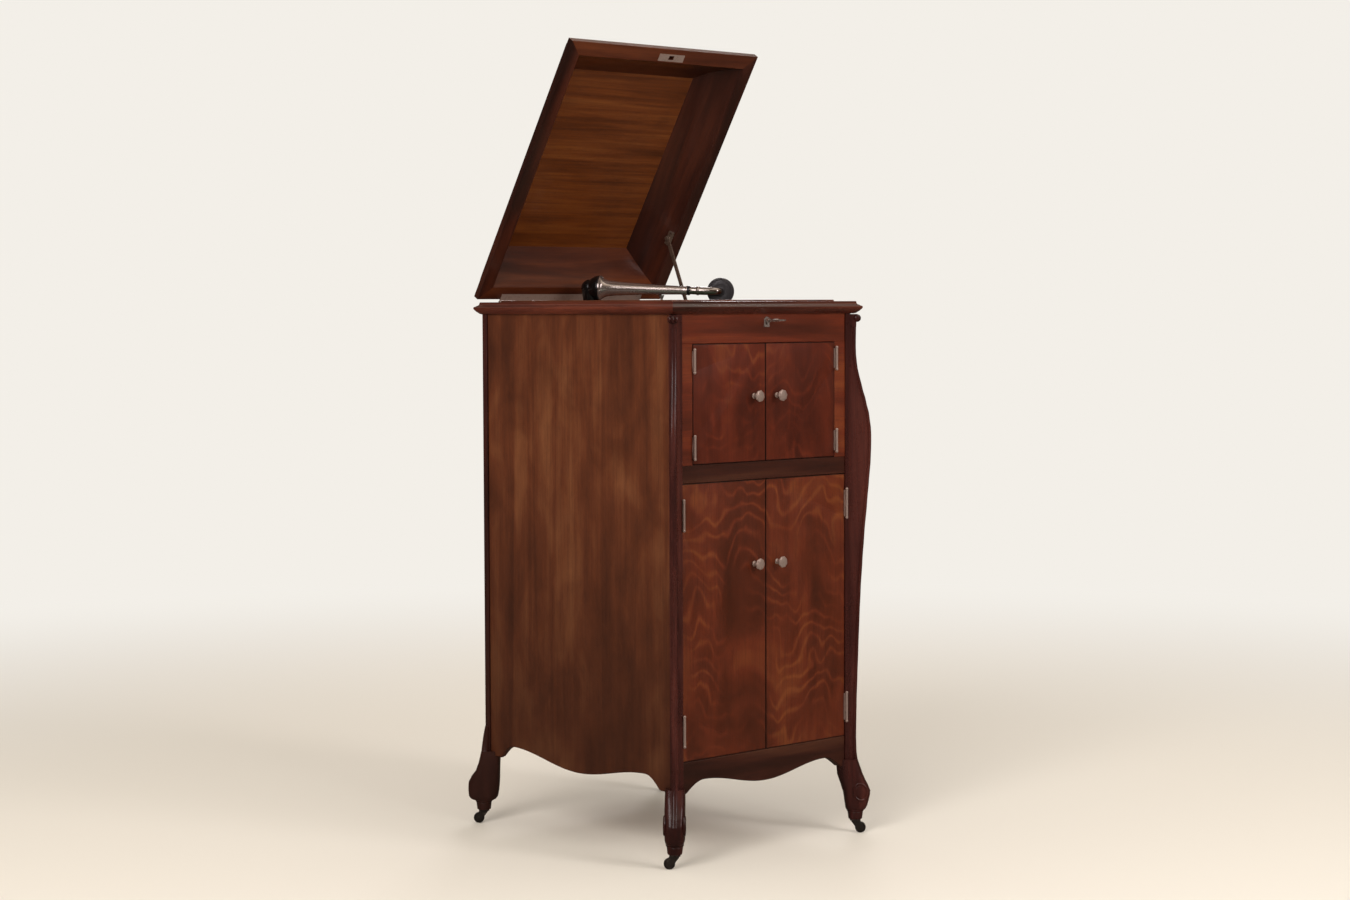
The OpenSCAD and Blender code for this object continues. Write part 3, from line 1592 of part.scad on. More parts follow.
// swivelling fork with its stem and axle, wheel trailing outward
module fork(sx, sy, turn = 0) {
  cheek = 2;
  in = wheel_w / 2 + 0.5;
  t = caster_trail;
  color([0.30, 0.27, 0.24])
    at_corner(sx, sy)
      translate([ankle_r, 0, 0]) rotate([0, 0, turn]) {
        translate([0, 0, fork_top - 3.5])
          cylinder(h = 3.5, r = 11);
        translate([0, 0, fork_top - 1])
          cylinder(h = 29, d = stem_d);
        for (y = [-in - cheek, in])
          along_y(y, y + cheek)
            polygon([[-8, fork_top - 2], [-8, fork_top - 5], [t - 6, wheel_z - 4], [t - 3, wheel_z - 6],
                     [t + 3, wheel_z - 6], [t + 6, wheel_z - 2], [t + 5, wheel_z + 4], [9, fork_top - 2]]);
        translate([t, 0, wheel_z])
          rotate([90, 0, 0])
            cylinder(h = 2 * (in + cheek) + 1, d = 4, center = true);
      }
}

module caster_wheel(sx, sy, turn = 0) {
  color([0.35, 0.33, 0.31])
    at_corner(sx, sy)
      translate([ankle_r, 0, 0])
        rotate([0, 0, turn])
          translate([caster_trail, 0, wheel_z])
          rotate([90, 0, 0])
          difference() {
            cylinder(h = wheel_w, d = wheel_d, center = true);
            cylinder(h = wheel_w + 2, d = 4 + 2 * run_gap, center = true);
          }
}

module front_left_fork() {
  fork(-1, -1, near_turn);
}

module front_right_fork() {
  fork(1, -1);
}

module rear_left_fork() {
  fork(-1, 1);
}

module rear_right_fork() {
  fork(1, 1);
}

module front_left_wheel() {
  caster_wheel(-1, -1, near_turn);
}

module front_right_wheel() {
  caster_wheel(1, -1);
}

module rear_left_wheel() {
  caster_wheel(-1, 1);
}

module rear_right_wheel() {
  caster_wheel(1, 1);
}

front_posts();
rear_posts();
side_panel_left();
side_panel_right();
back_panel();
front_frame();
front_apron();
bottom_board();
divider_board();
record_shelves();
top_moulding();
well_liners();
motor_board();
horn_boards();
horn_throat();
tone_louvres();
upper_left_door();
upper_right_door();
lower_left_door();
lower_right_door();
upper_left_fittings();
upper_right_fittings();
lower_left_fittings();
lower_right_fittings();
door_hinge_leaves();
lid_frame();
lid_panel();
lid_fittings();
lid_hinge_leaf();
stay_bar();
lock_case();
lock_bolt();
key();
platter();
felt_disc();
spindle();
motor_frame();
spring_barrel();
middle_wheel();
governor();
winding_arbor();
crank();
crank_grip();
arm_base();
arm_elbow();
arm_tube();
gooseneck();
sound_box();
brake_lever();
speed_knob();
fixed_fittings();
caster_sockets();
front_left_fork();
front_right_fork();
rear_left_fork();
rear_right_fork();
front_left_wheel();
front_right_wheel();
rear_left_wheel();
rear_right_wheel();
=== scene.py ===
"""Looks of the gramophone cabinet: its woods and metals, carved corners, mouldings, lid, arm and lighting."""

import logging
import math
from dataclasses import dataclass
from enum import Enum
from typing import Any, Optional, Sequence, Union

import bmesh
import bpy
from mathutils import Matrix, Vector


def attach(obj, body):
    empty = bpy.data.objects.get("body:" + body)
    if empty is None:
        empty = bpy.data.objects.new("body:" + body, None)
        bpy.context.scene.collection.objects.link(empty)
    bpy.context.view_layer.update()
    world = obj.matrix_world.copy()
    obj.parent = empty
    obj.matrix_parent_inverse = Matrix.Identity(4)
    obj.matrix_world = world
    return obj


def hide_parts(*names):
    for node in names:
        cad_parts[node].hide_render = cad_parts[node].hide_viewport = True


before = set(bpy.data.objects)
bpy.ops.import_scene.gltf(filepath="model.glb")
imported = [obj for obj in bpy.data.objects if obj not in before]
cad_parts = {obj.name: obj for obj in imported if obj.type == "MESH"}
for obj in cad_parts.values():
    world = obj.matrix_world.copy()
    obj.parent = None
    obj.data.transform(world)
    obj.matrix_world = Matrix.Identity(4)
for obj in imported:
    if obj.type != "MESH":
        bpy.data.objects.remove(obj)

LOG = logging.getLogger("gramophone")
MM = 0.001
# Sizes of the solids in millimetres: half the width over the side panels, the front face of the rails, the
# heights of the case and of the top moulding, how far a leg's axis stands out of its corner, the depth of the
# front rails, and the lock bolt's place with half sizes of its slot, its mortise and the strike plate's bed.
HALF_WIDTH = 242.0
FRONT = 291.0
CASE_TOP = 1062.0
SILL_TOP = 1082.0
LEG_AXIS = 8.0
FRONT_BOARD = (-FRONT, 20 - FRONT)
BOLT = (17.0, -276.0)
BOLT_SLOT = (4.3, 2.8)
BOLT_MORTISE = (7.0, 4.5)
PLATE_BED = (34.0, 8.0)
# How far the plates stand out of the wood, and the angle over which an edge of metal stays crisp.
PLATE_LIFT = 0.12
CRISP = 32.0
Number = Union[int, float, "Channel"]
Point = tuple[float, float]
Row = tuple[float, ...]
Colour = tuple[float, float, float, float]
Mesh = bmesh.types.BMesh
Face = bmesh.types.BMFace
Material = bpy.types.Material
Socket = bpy.types.NodeSocket
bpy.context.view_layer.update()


# ---------------------------------------------------------------- shader helpers


def tone(code: str) -> Colour:
    """A written colour as the renderer's linear colour.

    Args:
        code: Six hexadecimal digits after a hash.

    Returns:
        Red, green, blue and alpha.
    """
    parts = [int(code[i : i + 2], 16) / 255 for i in (1, 3, 5)]
    linear = [p / 12.92 if p <= 0.04045 else ((p + 0.055) / 1.055) ** 2.4 for p in parts]
    return (linear[0], linear[1], linear[2], 1.0)


class Channel:
    """A number socket on which Python's operators add Math nodes."""

    def __init__(self, recipe: "Recipe", socket: Socket) -> None:
        """Wraps one socket of a recipe."""
        self.recipe = recipe
        self.socket = socket

    def _join(self, operation: str, first: Number, second: Number) -> "Channel":
        """Adds a Math node on two values."""
        return self.recipe.value("ShaderNodeMath", {"operation": operation}, {0: first, 1: second})

    def __add__(self, other: Number) -> "Channel":
        """Sum."""
        return self._join("ADD", self, other)

    def __radd__(self, other: Number) -> "Channel":
        """Sum from the right."""
        return self._join("ADD", other, self)

    def __sub__(self, other: Number) -> "Channel":
        """Difference."""
        return self._join("SUBTRACT", self, other)

    def __rsub__(self, other: Number) -> "Channel":
        """Difference from the right."""
        return self._join("SUBTRACT", other, self)

    def __mul__(self, other: Number) -> "Channel":
        """Product."""
        return self._join("MULTIPLY", self, other)

    def __rmul__(self, other: Number) -> "Channel":
        """Product from the right."""
        return self._join("MULTIPLY", other, self)

    def __pow__(self, other: Number) -> "Channel":
        """Power."""
        return self._join("POWER", self, other)


class Tree:
    """A node tree under construction."""

    def __init__(self, tree: bpy.types.NodeTree) -> None:
        """Starts on an existing tree."""
        self.tree = tree

    def join(self, socket: Socket, value: Any) -> None:
        """Links a channel or socket to an input, or sets the input's own value.

        Args:
            socket: The input.
            value: What it gets.
        """
        if isinstance(value, Channel):
            value = value.socket
        if isinstance(value, Socket):
            self.tree.links.new(value, socket)
        else:
            socket.default_value = value

    def node(self, kind: str, settings: Optional[dict[str, Any]] = None,
             inputs: Optional[dict[Union[str, int], Any]] = None) -> bpy.types.Node:
        """Adds any node.

        Args:
            kind: Blender's node type.
            settings: Properties set first; "stops" holds a ramp's positions and colours.
            inputs: Values or links by socket name or number.

        Returns:
            The new node.
        """
        made = self.tree.nodes.new(kind)
        for key, value in (settings or {}).items():
            if key == "stops":
                ramp = made.color_ramp
                while len(ramp.elements) < len(value):
                    ramp.elements.new(0.5)
                for element, (place, colour) in zip(ramp.elements, value):
                    element.position = place
                    element.color = colour
            else:
                setattr(made, key, value)
        for key, value in (inputs or {}).items():
            self.join(made.inputs[key], value)
        return made

    def ramp(self, value: Any, stops: Sequence[tuple[float, Sequence[float]]]) -> Socket:
        """A colour ramp over a value."""
        return self.node("ShaderNodeValToRGB", {"stops": stops}, {"Fac": value}).outputs["Color"]

    def mixed(self, amount: Any, under: Socket, over: Socket) -> Socket:
        """Two surfaces mixed by an amount."""
        return self.node("ShaderNodeMixShader", {}, {0: amount, 1: under, 2: over}).outputs[0]

    def backdrop(self, colour: Any, strength: float) -> Socket:
        """A background that glows in a colour."""
        return self.node("ShaderNodeBackground", {}, {0: colour, 1: strength}).outputs[0]


class Recipe(Tree):
    """One material under construction: a Principled shader and the nodes that feed it."""

    def __init__(self, name: str) -> None:
        """Starts an empty material.

        Args:
            name: Name of the material.
        """
        self.material = bpy.data.materials.new(name)
        self.material.use_nodes = True
        super().__init__(self.material.node_tree)
        self.shader = self.tree.nodes["Principled BSDF"]

    def value(self, kind: str, settings: dict[str, Any], inputs: dict[Union[str, int], Any],
              output: Union[str, int] = 0) -> Channel:
        """Adds a node and wraps one of its outputs for number maths."""
        return Channel(self, self.node(kind, settings, inputs).outputs[output])

    def scaled(self, spot: Socket, scale: Sequence[float]) -> Socket:
        """A place with its axes scaled."""
        return self.node("ShaderNodeMapping", {}, {"Vector": spot, "Scale": tuple(scale)}).outputs[0]

    def place(self, scale: Sequence[float] = (1, 1, 1), tilt: float = 0.0) -> Socket:
        """Object coordinates, turned about X and then scaled.

        Args:
            scale: Factor along each turned axis.
            tilt: Turn in degrees that brings a slanted piece upright first.

        Returns:
            The vector socket.
        """
        spot = self.node("ShaderNodeTexCoord").outputs["Object"]
        if tilt:
            turn = (math.radians(tilt), 0.0, 0.0)
            spot = self.node("ShaderNodeMapping", {}, {"Vector": spot, "Rotation": turn}).outputs[0]
        return self.scaled(spot, scale)

    def along(self, axis: int, spot: Optional[Socket] = None) -> Channel:
        """One coordinate of a place, or of the object's own coordinates."""
        return self.value("ShaderNodeSeparateXYZ", {}, {0: spot or self.place()}, axis)

    def noise(self, spot: Socket, scale: float = 1.0, detail: float = 3.0, rough: float = 0.5,
              warp: float = 0.0) -> Channel:
        """Noise from 0 to 1 at a place."""
        return self.value("ShaderNodeTexNoise", {}, {"Vector": spot, "Scale": scale, "Detail": detail,
                                                     "Roughness": rough, "Distortion": warp})

    def window(self, value: Number, low: float, high: float) -> Channel:
        """Spreads a value so that low becomes 0 and high becomes 1."""
        return self.value("ShaderNodeMapRange", {"clamp": True, "interpolation_type": "SMOOTHSTEP"},
                          {"Value": value, "From Min": low, "From Max": high})

    def blend(self, amount: Number, under: Any, over: Any) -> Socket:
        """Mixes two colours by an amount."""
        settings = {"data_type": "RGBA", "blend_type": "MIX"}
        return self.node("ShaderNodeMix", settings, {0: amount, 6: under, 7: over}).outputs[2]

    def relief(self, height: Channel, strength: float, depth: float) -> None:
        """Feeds a height into the shader's normal.

        Args:
            height: The height, 0 to 1.
            strength: How much of it shows.
            depth: Its real depth in metres.
        """
        bump = self.node("ShaderNodeBump", {}, {"Height": height, "Strength": strength, "Distance": depth})
        self.feed(Normal=bump.outputs[0])

    def feed(self, **sockets: Any) -> None:
        """Sets or links sockets of the shader, written with underscores for spaces."""
        for key, value in sockets.items():
            self.join(self.shader.inputs[key.replace("_", " ")], value)


# ---------------------------------------------------------------- finishes


class Grain(Enum):
    """The direction in which a board's grain runs."""

    ALONG_X = 0
    ALONG_Y = 1
    ALONG_Z = 2


class Figure(Enum):
    """The figure that shows in a board's varnished face."""

    PLAIN = "plain"
    RIBBON = "ribbon"
    RIPPLE = "ripple"
    FINE = "fine"


@dataclass(frozen=True)
class Varnished:
    """Stained and varnished mahogany.

    Attributes:
        name: Name of the material.
        dark: Colour of the deep streaks.
        middle: Colour of the ground.
        light: Colour of the bright flashes.
        grain: Direction of the grain.
        figure: Figure of the veneer.
        tilt: Turn about X in degrees that brings a slanted piece upright.
        gloss: Roughness of the varnish.
        coat: Weight of the polish over it.
        shift: Moves the pattern, so that two boards differ.
        foot_dark: How much the lower end darkens, from 0 to 1.
        gaps: Places (axis, millimetres) beside which painted shade darkens the wood, along the joints round
            doors and panels and under the top moulding.
    """

    PORES = "#1c0d08"
    GRIME = "#231009"
    FOOT = "#20100a"
    # Colour of the painted shade beside the joints.
    GAP = "#0d0604"

    name: str
    dark: str
    middle: str
    light: str
    grain: Grain = Grain.ALONG_Z
    figure: Figure = Figure.PLAIN
    tilt: float = 0.0
    gloss: float = 0.34
    coat: float = 0.12
    shift: float = 0.0
    foot_dark: float = 0.0
    gaps: tuple[tuple[int, float], ...] = ()

    def _scales(self, across: float, along: float) -> Row:
        """Scale of a pattern that is stretched along the grain."""
        return tuple(along if axis == self.grain.value else across for axis in range(3))

    def _figure(self, r: Recipe) -> Channel:
        """The broad light and dark of the veneer.

        Args:
            r: The material under construction.

        Returns:
            The pattern, 0 to 1.
        """
        move = (self.shift, self.shift * 0.7, self.shift * 1.3)
        moved = r.node("ShaderNodeVectorMath", {"operation": "ADD"},
                       {0: r.place(tilt=self.tilt), 1: move}).outputs[0]

        def cloud(scale: Sequence[float], detail: float, rough: float, warp: float) -> Channel:
            """Noise on the moved place."""
            return r.noise(r.scaled(moved, scale), 1.0, detail, rough, warp)

        streaks = cloud(self._scales(16, 1.6), 4.0, 0.55, 0.6)
        if self.figure is Figure.PLAIN:
            return streaks
        if self.figure is Figure.FINE:
            return streaks * 0.35 + cloud(self._scales(75, 2.5), 4.0, 0.6, 0.3) * 0.65
        if self.figure is Figure.RIBBON:
            ribbons = cloud(self._scales(26, 1.0), 2.0, 0.5, 0.9)
            mottle = cloud((14, 14, 7), 3.0, 0.55, 0.8)
            flame = cloud((5, 5, 2.2), 2.0, 0.5, 1.2)
            return ribbons * 0.30 + mottle * 0.30 + flame * 0.40
        bend = cloud((10, 10, 5), 2.0, 0.5, 0.2)
        height = r.along(2, moved)
        wave = r.value("ShaderNodeMath", {"operation": "SINE"}, {0: height * 175.0 + bend * 46.0})
        patch = r.window(cloud((8, 8, 6), 2.0, 0.5, 0.3), 0.36, 0.68)
        crest = (wave * 0.5 + 0.5) ** 4.0
        return cloud((7, 7, 3.5), 3.0, 0.5, 1.0) * 0.60 + streaks * 0.28 + patch * crest * 0.14 + 0.03

    def make(self) -> Material:
        """Builds the material.

        Returns:
            The finished material.
        """
        r = Recipe(self.name)
        figure = self._figure(r)
        spread = r.window(figure, 0.28, 0.72)
        ground = r.ramp(spread, [(0.0, tone(self.dark)), (0.5, tone(self.middle)), (1.0, tone(self.light))])
        fibre = r.noise(r.place(self._scales(420, 9), self.tilt), 1.0, 3.0, 0.6, 0.2)
        pores = r.noise(r.place(self._scales(1500, 45), self.tilt), 1.0, 2.0, 0.55)
        ground = r.blend(r.window(fibre, 0.42, 0.70) * 0.34, ground, tone(self.dark))
        ground = r.blend(r.window(pores, 0.60, 0.72) * 0.5, ground, tone(self.PORES))
        grime = r.noise(r.place((7, 7, 7)), 1.0, 4.0, 0.6)
        ground = r.blend(r.window(grime, 0.50, 0.78) * 0.30, ground, tone(self.GRIME))
        if self.foot_dark:
            low = 1 - r.window(r.along(2) + grime * 0.25, 0.25, 0.95)
            ground = r.blend(low * self.foot_dark, ground, tone(self.FOOT))
        # Painted shade: the wood turns nearly black within a few millimetres of each listed joint, where
        # shade falls into the gap.
        for axis, spot in self.gaps:
            away = r.value("ShaderNodeMath", {"operation": "ABSOLUTE"}, {0: r.along(axis) - spot * MM})
            ground = r.blend((1 - r.window(away, 0.0006, 0.0030)) * 0.92, ground, tone(self.GAP))
        smear = r.noise(r.place((22, 22, 22)), 1.0, 4.0, 0.6)
        r.feed(Base_Color=ground, Roughness=smear * 0.16 + fibre * 0.10 + (self.gloss - 0.12),
               Coat_Weight=self.coat, Coat_Roughness=0.14, Specular_IOR_Level=0.40)
        r.relief(fibre * 0.6 + pores * 0.4, 0.16, 0.0004)
        return r.material


@dataclass(frozen=True)
class Plated:
    """Polished or brushed bare metal with handling marks.

    Attributes:
        name: Name of the material.
        bright: Colour of the clean metal.
        dull: Colour of the tarnished places.
        polish: Roughness where it is clean.
        worn: Share of tarnish, 0 to 1.
        bareness: How metallic the surface is under its bloom, 0 to 1.
    """

    SPECKS = "#2a211c"
    SPOTS = 180.0

    name: str
    bright: str
    dull: str
    polish: float = 0.12
    worn: float = 0.4
    bareness: float = 1.0

    def make(self) -> Material:
        """Builds the material.

        Returns:
            The finished material.
        """
        r = Recipe(self.name)
        cloud = r.noise(r.place(), self.SPOTS, 5.0, 0.62, 0.3)
        specks = r.noise(r.place(), self.SPOTS * 6, 2.0, 0.5)
        rub = r.noise(r.place((900, 900, 120)), 1.0, 2.0, 0.5)
        dirt = r.window(cloud, 0.50, 0.74) * self.worn
        colour = r.blend(dirt, tone(self.bright), tone(self.dull))
        colour = r.blend(r.window(specks, 0.66, 0.74) * self.worn * 0.6, colour, tone(self.SPECKS))
        r.feed(Base_Color=colour, Metallic=self.bareness, Roughness=dirt * 0.30 + rub * 0.05 + self.polish)
        r.relief(rub * 0.4 + specks * 0.6, 0.02, 0.0001)
        return r.material


@dataclass(frozen=True)
class Enamelled:
    """Painted or lacquered metal, or a dark iron skin.

    Attributes:
        name: Name of the material.
        skin: Colour of the paint.
        bare: Colour where it is rubbed.
        gloss: Roughness of the paint.
        grit: Strength of the casting's texture.
        rubbed: Share that is rubbed, 0 to 1.
    """

    name: str
    skin: str
    bare: str
    gloss: float = 0.3
    grit: float = 0.1
    rubbed: float = 0.3

    def make(self) -> Material:
        """Builds the material.

        Returns:
            The finished material.
        """
        r = Recipe(self.name)
        cloud = r.noise(r.place(), 90.0, 5.0, 0.65, 0.2)
        grain = r.noise(r.place(), 1400.0, 2.0, 0.5)
        wear = r.window(cloud, 0.54, 0.76) * self.rubbed
        r.feed(Base_Color=r.blend(wear, tone(self.skin), tone(self.bare)), Metallic=wear * 0.6 + 0.05,
               Roughness=cloud * 0.18 + (self.gloss - 0.09), Coat_Weight=0.2, Coat_Roughness=0.2)
        r.relief(grain * 0.7 + cloud * 0.3, self.grit, 0.0003)
        return r.material


@dataclass(frozen=True)
class Felted:
    """Short wool felt.

    Attributes:
        name: Name of the material.
        pile: Colour of the wool.
        worn: Colour where it is rubbed.
    """

    name: str
    pile: str
    worn: str

    def make(self) -> Material:
        """Builds the material.

        Returns:
            The finished material.
        """
        r = Recipe(self.name)
        fluff = r.noise(r.place(), 1700.0, 4.0, 0.7, 0.5)
        patch = r.noise(r.place(), 22.0, 3.0, 0.5)
        colour = r.blend(r.window(patch, 0.40, 0.75) * 0.5 + fluff * 0.25, tone(self.pile), tone(self.worn))
        r.feed(Base_Color=colour, Roughness=fluff * 0.1 + 0.88, Sheen_Weight=0.4, Sheen_Roughness=0.5)
        r.relief(fluff, 0.5, 0.0008)
        return r.material


# ---------------------------------------------------------------- mesh helpers


LID_OPEN = 58.36
LID_AXIS = Vector((0.0, 303 * MM, 1082.6 * MM))


def metres(*values: float) -> Vector:
    """Three sizes in millimetres as a vector in metres."""
    return Vector(values) * MM


def shifted(*values: float) -> Matrix:
    """A move by three sizes in millimetres."""
    return Matrix.Translation(metres(*values))


def rotated(degrees: float, axis: str) -> Matrix:
    """A turn about one of the frame's axes."""
    return Matrix.Rotation(math.radians(degrees), 4, axis)


def verts_of(parts: Sequence[Any]) -> list[bmesh.types.BMVert]:
    """The vertices among an operator's results."""
    return [g for g in parts if isinstance(g, bmesh.types.BMVert)]


OPENED = Matrix.Translation(LID_AXIS) @ rotated(-LID_OPEN, "X") @ Matrix.Translation(-LID_AXIS)


def corner_frame(sx: int, sy: int) -> Matrix:
    """The frame of one corner of the case: X outward along the diagonal, Z up.

    Args:
        sx: Side of the corner, -1 left or 1 right.
        sy: Side of the corner, -1 front or 1 rear.

    Returns:
        The matrix from the corner's frame to the cabinet's.
    """
    return shifted(sx * HALF_WIDTH, sy * FRONT, 0) @ Matrix.Rotation(math.atan2(sy, sx), 4, "Z")


def weld(mesh: Mesh) -> None:
    """Merges doubles and turns every face outward."""
    bmesh.ops.remove_doubles(mesh, verts=mesh.verts, dist=0.02 * MM)
    bmesh.ops.recalc_face_normals(mesh, faces=mesh.faces)


def finish_piece(name: str, mesh: Mesh, materials: Sequence[Material], body: str,
                 replaces: Sequence[str], sharp: float = 35.0, soften: float = 0.0,
                 segments: int = 2) -> None:
    """Makes an object of a mesh, gives it its finish and lets it ride on a body.

    Args:
        name: Name of the piece.
        mesh: Its mesh in metres, which is used up.
        materials: Its materials, in the order of the faces' numbers.
        body: The body that carries it.
        replaces: CAD nodes that it stands for.
        sharp: Angle over which an edge stays crisp.
        soften: Width of a rounding along its edges in millimetres.
        segments: Steps of that rounding.
    """
    data = bpy.data.meshes.new(name)
    mesh.to_mesh(data)
    mesh.free()
    data.shade_smooth()
    piece = bpy.data.objects.new(name, data)
    bpy.context.scene.collection.objects.link(piece)
    for material in materials:
        data.materials.append(material)
    if soften:
        bevel = piece.modifiers.new("rounded edges", "BEVEL")
        bevel.width = soften * MM
        bevel.segments = segments
        bevel.limit_method = "ANGLE"
        bevel.angle_limit = math.radians(sharp)
        bevel.harden_normals = True
        bevel.miter_outer = "MITER_ARC"
    else:
        data.set_sharp_from_angle(angle=math.radians(sharp))
    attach(piece, body)
    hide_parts(*replaces)
    LOG.info("%s rides on %s: %d faces", name, body, len(data.polygons))


def merged_copy(node: str) -> Mesh:
    """A clean copy of a CAD node's mesh: doubles merged and flat faces joined.

    Args:
        node: Name of the node.

    Returns:
        The copied mesh.
    """
    mesh = bmesh.new()
    mesh.from_mesh(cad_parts[node].data)
    bmesh.ops.remove_doubles(mesh, verts=mesh.verts, dist=0.01 * MM)
    bmesh.ops.dissolve_limit(mesh, angle_limit=math.radians(0.5), verts=mesh.verts, edges=mesh.edges)
    return mesh


def sweep_rings(mesh: Mesh, rings: Sequence[Sequence[Vector]], joined: bool = False) -> None:
    """Extrudes a first closed ring of points through the places of the next ones.

    Args:
        mesh: The mesh that receives the surface.
        rings: Rings of equally many points, in metres.
        joined: Whether the last ring joins the first, as round a frame; otherwise the ends are filled.
    """
    count = len(rings[0])
    current = [mesh.verts.new(p) for p in rings[0]]
    edges = [mesh.edges.new((current[i], current[(i + 1) % count])) for i in range(count)]
    opening = edges
    for ring in rings[1:]:
        fresh = set(verts_of(bmesh.ops.extrude_edge_only(mesh, edges=edges)["geom"]))
        current = [next(e.other_vert(v) for e in v.link_edges if e.other_vert(v) in fresh) for v in current]
        for vert, spot in zip(current, ring):
            vert.co = spot
        edges = [mesh.edges.get((current[i], current[(i + 1) % count])) for i in range(count)]
    if joined:
        bmesh.ops.bridge_loops(mesh, edges=opening + edges)
        return
    for loop in (opening, edges):
        bmesh.ops.contextual_create(mesh, geom=loop)


def swept(mesh: Mesh, rings: Sequence[Sequence[Vector]], place: Matrix = Matrix(), material: int = 0) -> None:
    """Adds a closed solid that is swept through rings.

    Args:
        mesh: The mesh that receives it.
        rings: Its rings, as for sweep_rings.
        place: Matrix from the rings' frame to the cabinet's.
        material: Number of the material that its faces get.
    """
    part = bmesh.new()
    sweep_rings(part, rings)
    weld(part)
    absorb(mesh, part, place, material)


def inset(outline: Sequence[Point], amount: float) -> list[Point]:
    """An outline moved inward, with mitred corners.

    Args:
        outline: Its points in order.
        amount: How far each side moves.

    Returns:
        The moved points.
    """
    count = len(outline)
    area = sum(outline[i - 1][0] * outline[i][1] - outline[i][0] * outline[i - 1][1] for i in range(count))
    reach = math.copysign(amount, area)
    moved = []
    for i, (u, v) in enumerate(outline):
        before, after = outline[i - 1], outline[(i + 1) % count]
        first = Vector((before[1] - v, u - before[0])).normalized()
        second = Vector((v - after[1], after[0] - u)).normalized()
        shift = (first + second) * (reach / (1 + first.dot(second)))
        moved.append((u + shift.x, v + shift.y))
    return moved


def board(mesh: Mesh, outline: Sequence[Point], span: tuple[float, float], axes: tuple[int, int, int],
          soften: float = 0.9) -> None:
    """Adds a board with its arrises taken off.

    Args:
        mesh: The mesh that receives it.
        outline: Its outline in millimetres.
        span: Where its thickness starts and ends.
        axes: Numbers of the world's axes that carry the outline's two directions and the thickness.
        soften: Width of the chamfer round both faces.
    """
    start, end = span
    steps = [(start, 0.0), (end, 0.0)]
    if soften:
        steps = [(start, soften), (start + soften, 0.0), (end - soften, 0.0), (end, soften)]
    rings = []
    for depth, amount in steps:
        ring = []
        for u, v in inset(outline, amount):
            spot = Vector((0, 0, 0))
            spot[axes[0]], spot[axes[1]], spot[axes[2]] = u, v, depth
            ring.append(spot * MM)
        rings.append(ring)
    swept(mesh, rings)


def rectangle(low: Point, high: Point) -> list[Point]:
    """The corners of an upright rectangle."""
    return [low, (high[0], low[1]), high, (low[0], high[1])]


def level_ring(low: Point, high: Point, height: float) -> list[Vector]:
    """The corners of a level rectangle, in metres."""
    return [metres(x, y, height) for x, y in rectangle(low, high)]


def bow_edge(level: float, rise: float, cusp: float, end: float) -> list[Point]:
    """A bow-shaped lower edge from its right end to its left.

    Args:
        level: Height of its middle.
        rise: How far its cusps stand over that.
        cusp: Distance of a cusp from the middle.
        end: Distance of an end from the middle.

    Returns:
        The points (place, height) in millimetres.
    """
    edge = []
    steps = 24
    for i in range(2 * steps + 1):
        along = end - end * i / steps
        away = abs(along)
        if away <= cusp:
            height = rise * (1 - math.cos(math.pi * away / cusp)) / 2
        else:
            height = rise * math.cos(math.pi / 2 * (away - cusp) / (end - cusp))
        edge.append((along, level + height))
    return edge


def upright_pair(mesh: Mesh, lengths: Sequence[tuple[float, float, Sequence[Point]]]) -> None:
    """Adds a right and a left upright that change their plan with the height.

    Args:
        mesh: The mesh that receives them.
        lengths: Rows of (foot, top, plan of the right one).
    """
    for side in (1, -1):
        for low, high, plan in lengths:
            board(mesh, [(side * x, y) for x, y in plan], (low, high), (0, 1, 2), 0)


def frame_sweep(mesh: Mesh, outline: Sequence[Point], extra_depth: float, middle_y: float) -> None:
    """A mitred rectangular frame of one moulded outline.

    Args:
        mesh: The mesh that receives it.
        outline: Points (distance from the middle plane at the sides, height) in millimetres.
        extra_depth: How much farther than that the frame reaches along Y.
        middle_y: Middle of the frame along Y.
    """
    corners = ((1, -1), (1, 1), (-1, 1), (-1, -1))
    rings = [[metres(sx * x, middle_y + sy * (x + extra_depth), z) for x, z in outline] for sx, sy in corners]
    sweep_rings(mesh, rings, joined=True)
    weld(mesh)


def mark_lengths(mesh: Mesh, extra_depth: float, middle_y: float) -> None:
    """Gives the side lengths of a mitred frame its second material.

    Args:
        mesh: The frame, made by frame_sweep.
        extra_depth: The same as there.
        middle_y: The same as there.
    """
    for face in mesh.faces:
        centre = face.calc_center_median()
        face.material_index = 0 if abs(centre.y - middle_y * MM) - extra_depth * MM > abs(centre.x) else 1


def smooth_path(points: Sequence[Point], steps: int) -> list[Point]:
    """Points along a soft curve through the given ones.

    Args:
        points: Places that the curve passes.
        steps: Steps between neighbours.

    Returns:
        The curve's points, the given ones among them.
    """
    found: list[Point] = []
    for i, (a, b) in enumerate(zip(points, points[1:])):
        before = points[max(i - 1, 0)]
        after = points[min(i + 2, len(points) - 1)]
        for k in range(steps):
            t = k / steps
            found.append(tuple(
                0.5 * (2 * a[n] + (b[n] - before[n]) * t
                       + (2 * before[n] - 5 * a[n] + 4 * b[n] - after[n]) * t * t
                       + (3 * a[n] - before[n] - 3 * b[n] + after[n]) * t ** 3) for n in (0, 1)))
    found.append(tuple(points[-1]))
    return found


def between(table: Sequence[Sequence[float]], key: float) -> tuple[float, ...]:
    """Softly interpolates the rows of a table whose first column falls or rises.

    Args:
        table: Rows of (key, value, value, ...).
        key: Where to read it.

    Returns:
        The values at that key.
    """
    rows = sorted(table)
    if key <= rows[0][0]:
        return tuple(rows[0][1:])
    for low, high in zip(rows, rows[1:]):
        if key <= high[0]:
            t = (key - low[0]) / (high[0] - low[0])
            t = t * t * (3 - 2 * t) * 0.5 + t * 0.5
            return tuple(a + (b - a) * t for a, b in zip(low[1:], high[1:]))
    return tuple(rows[-1][1:])


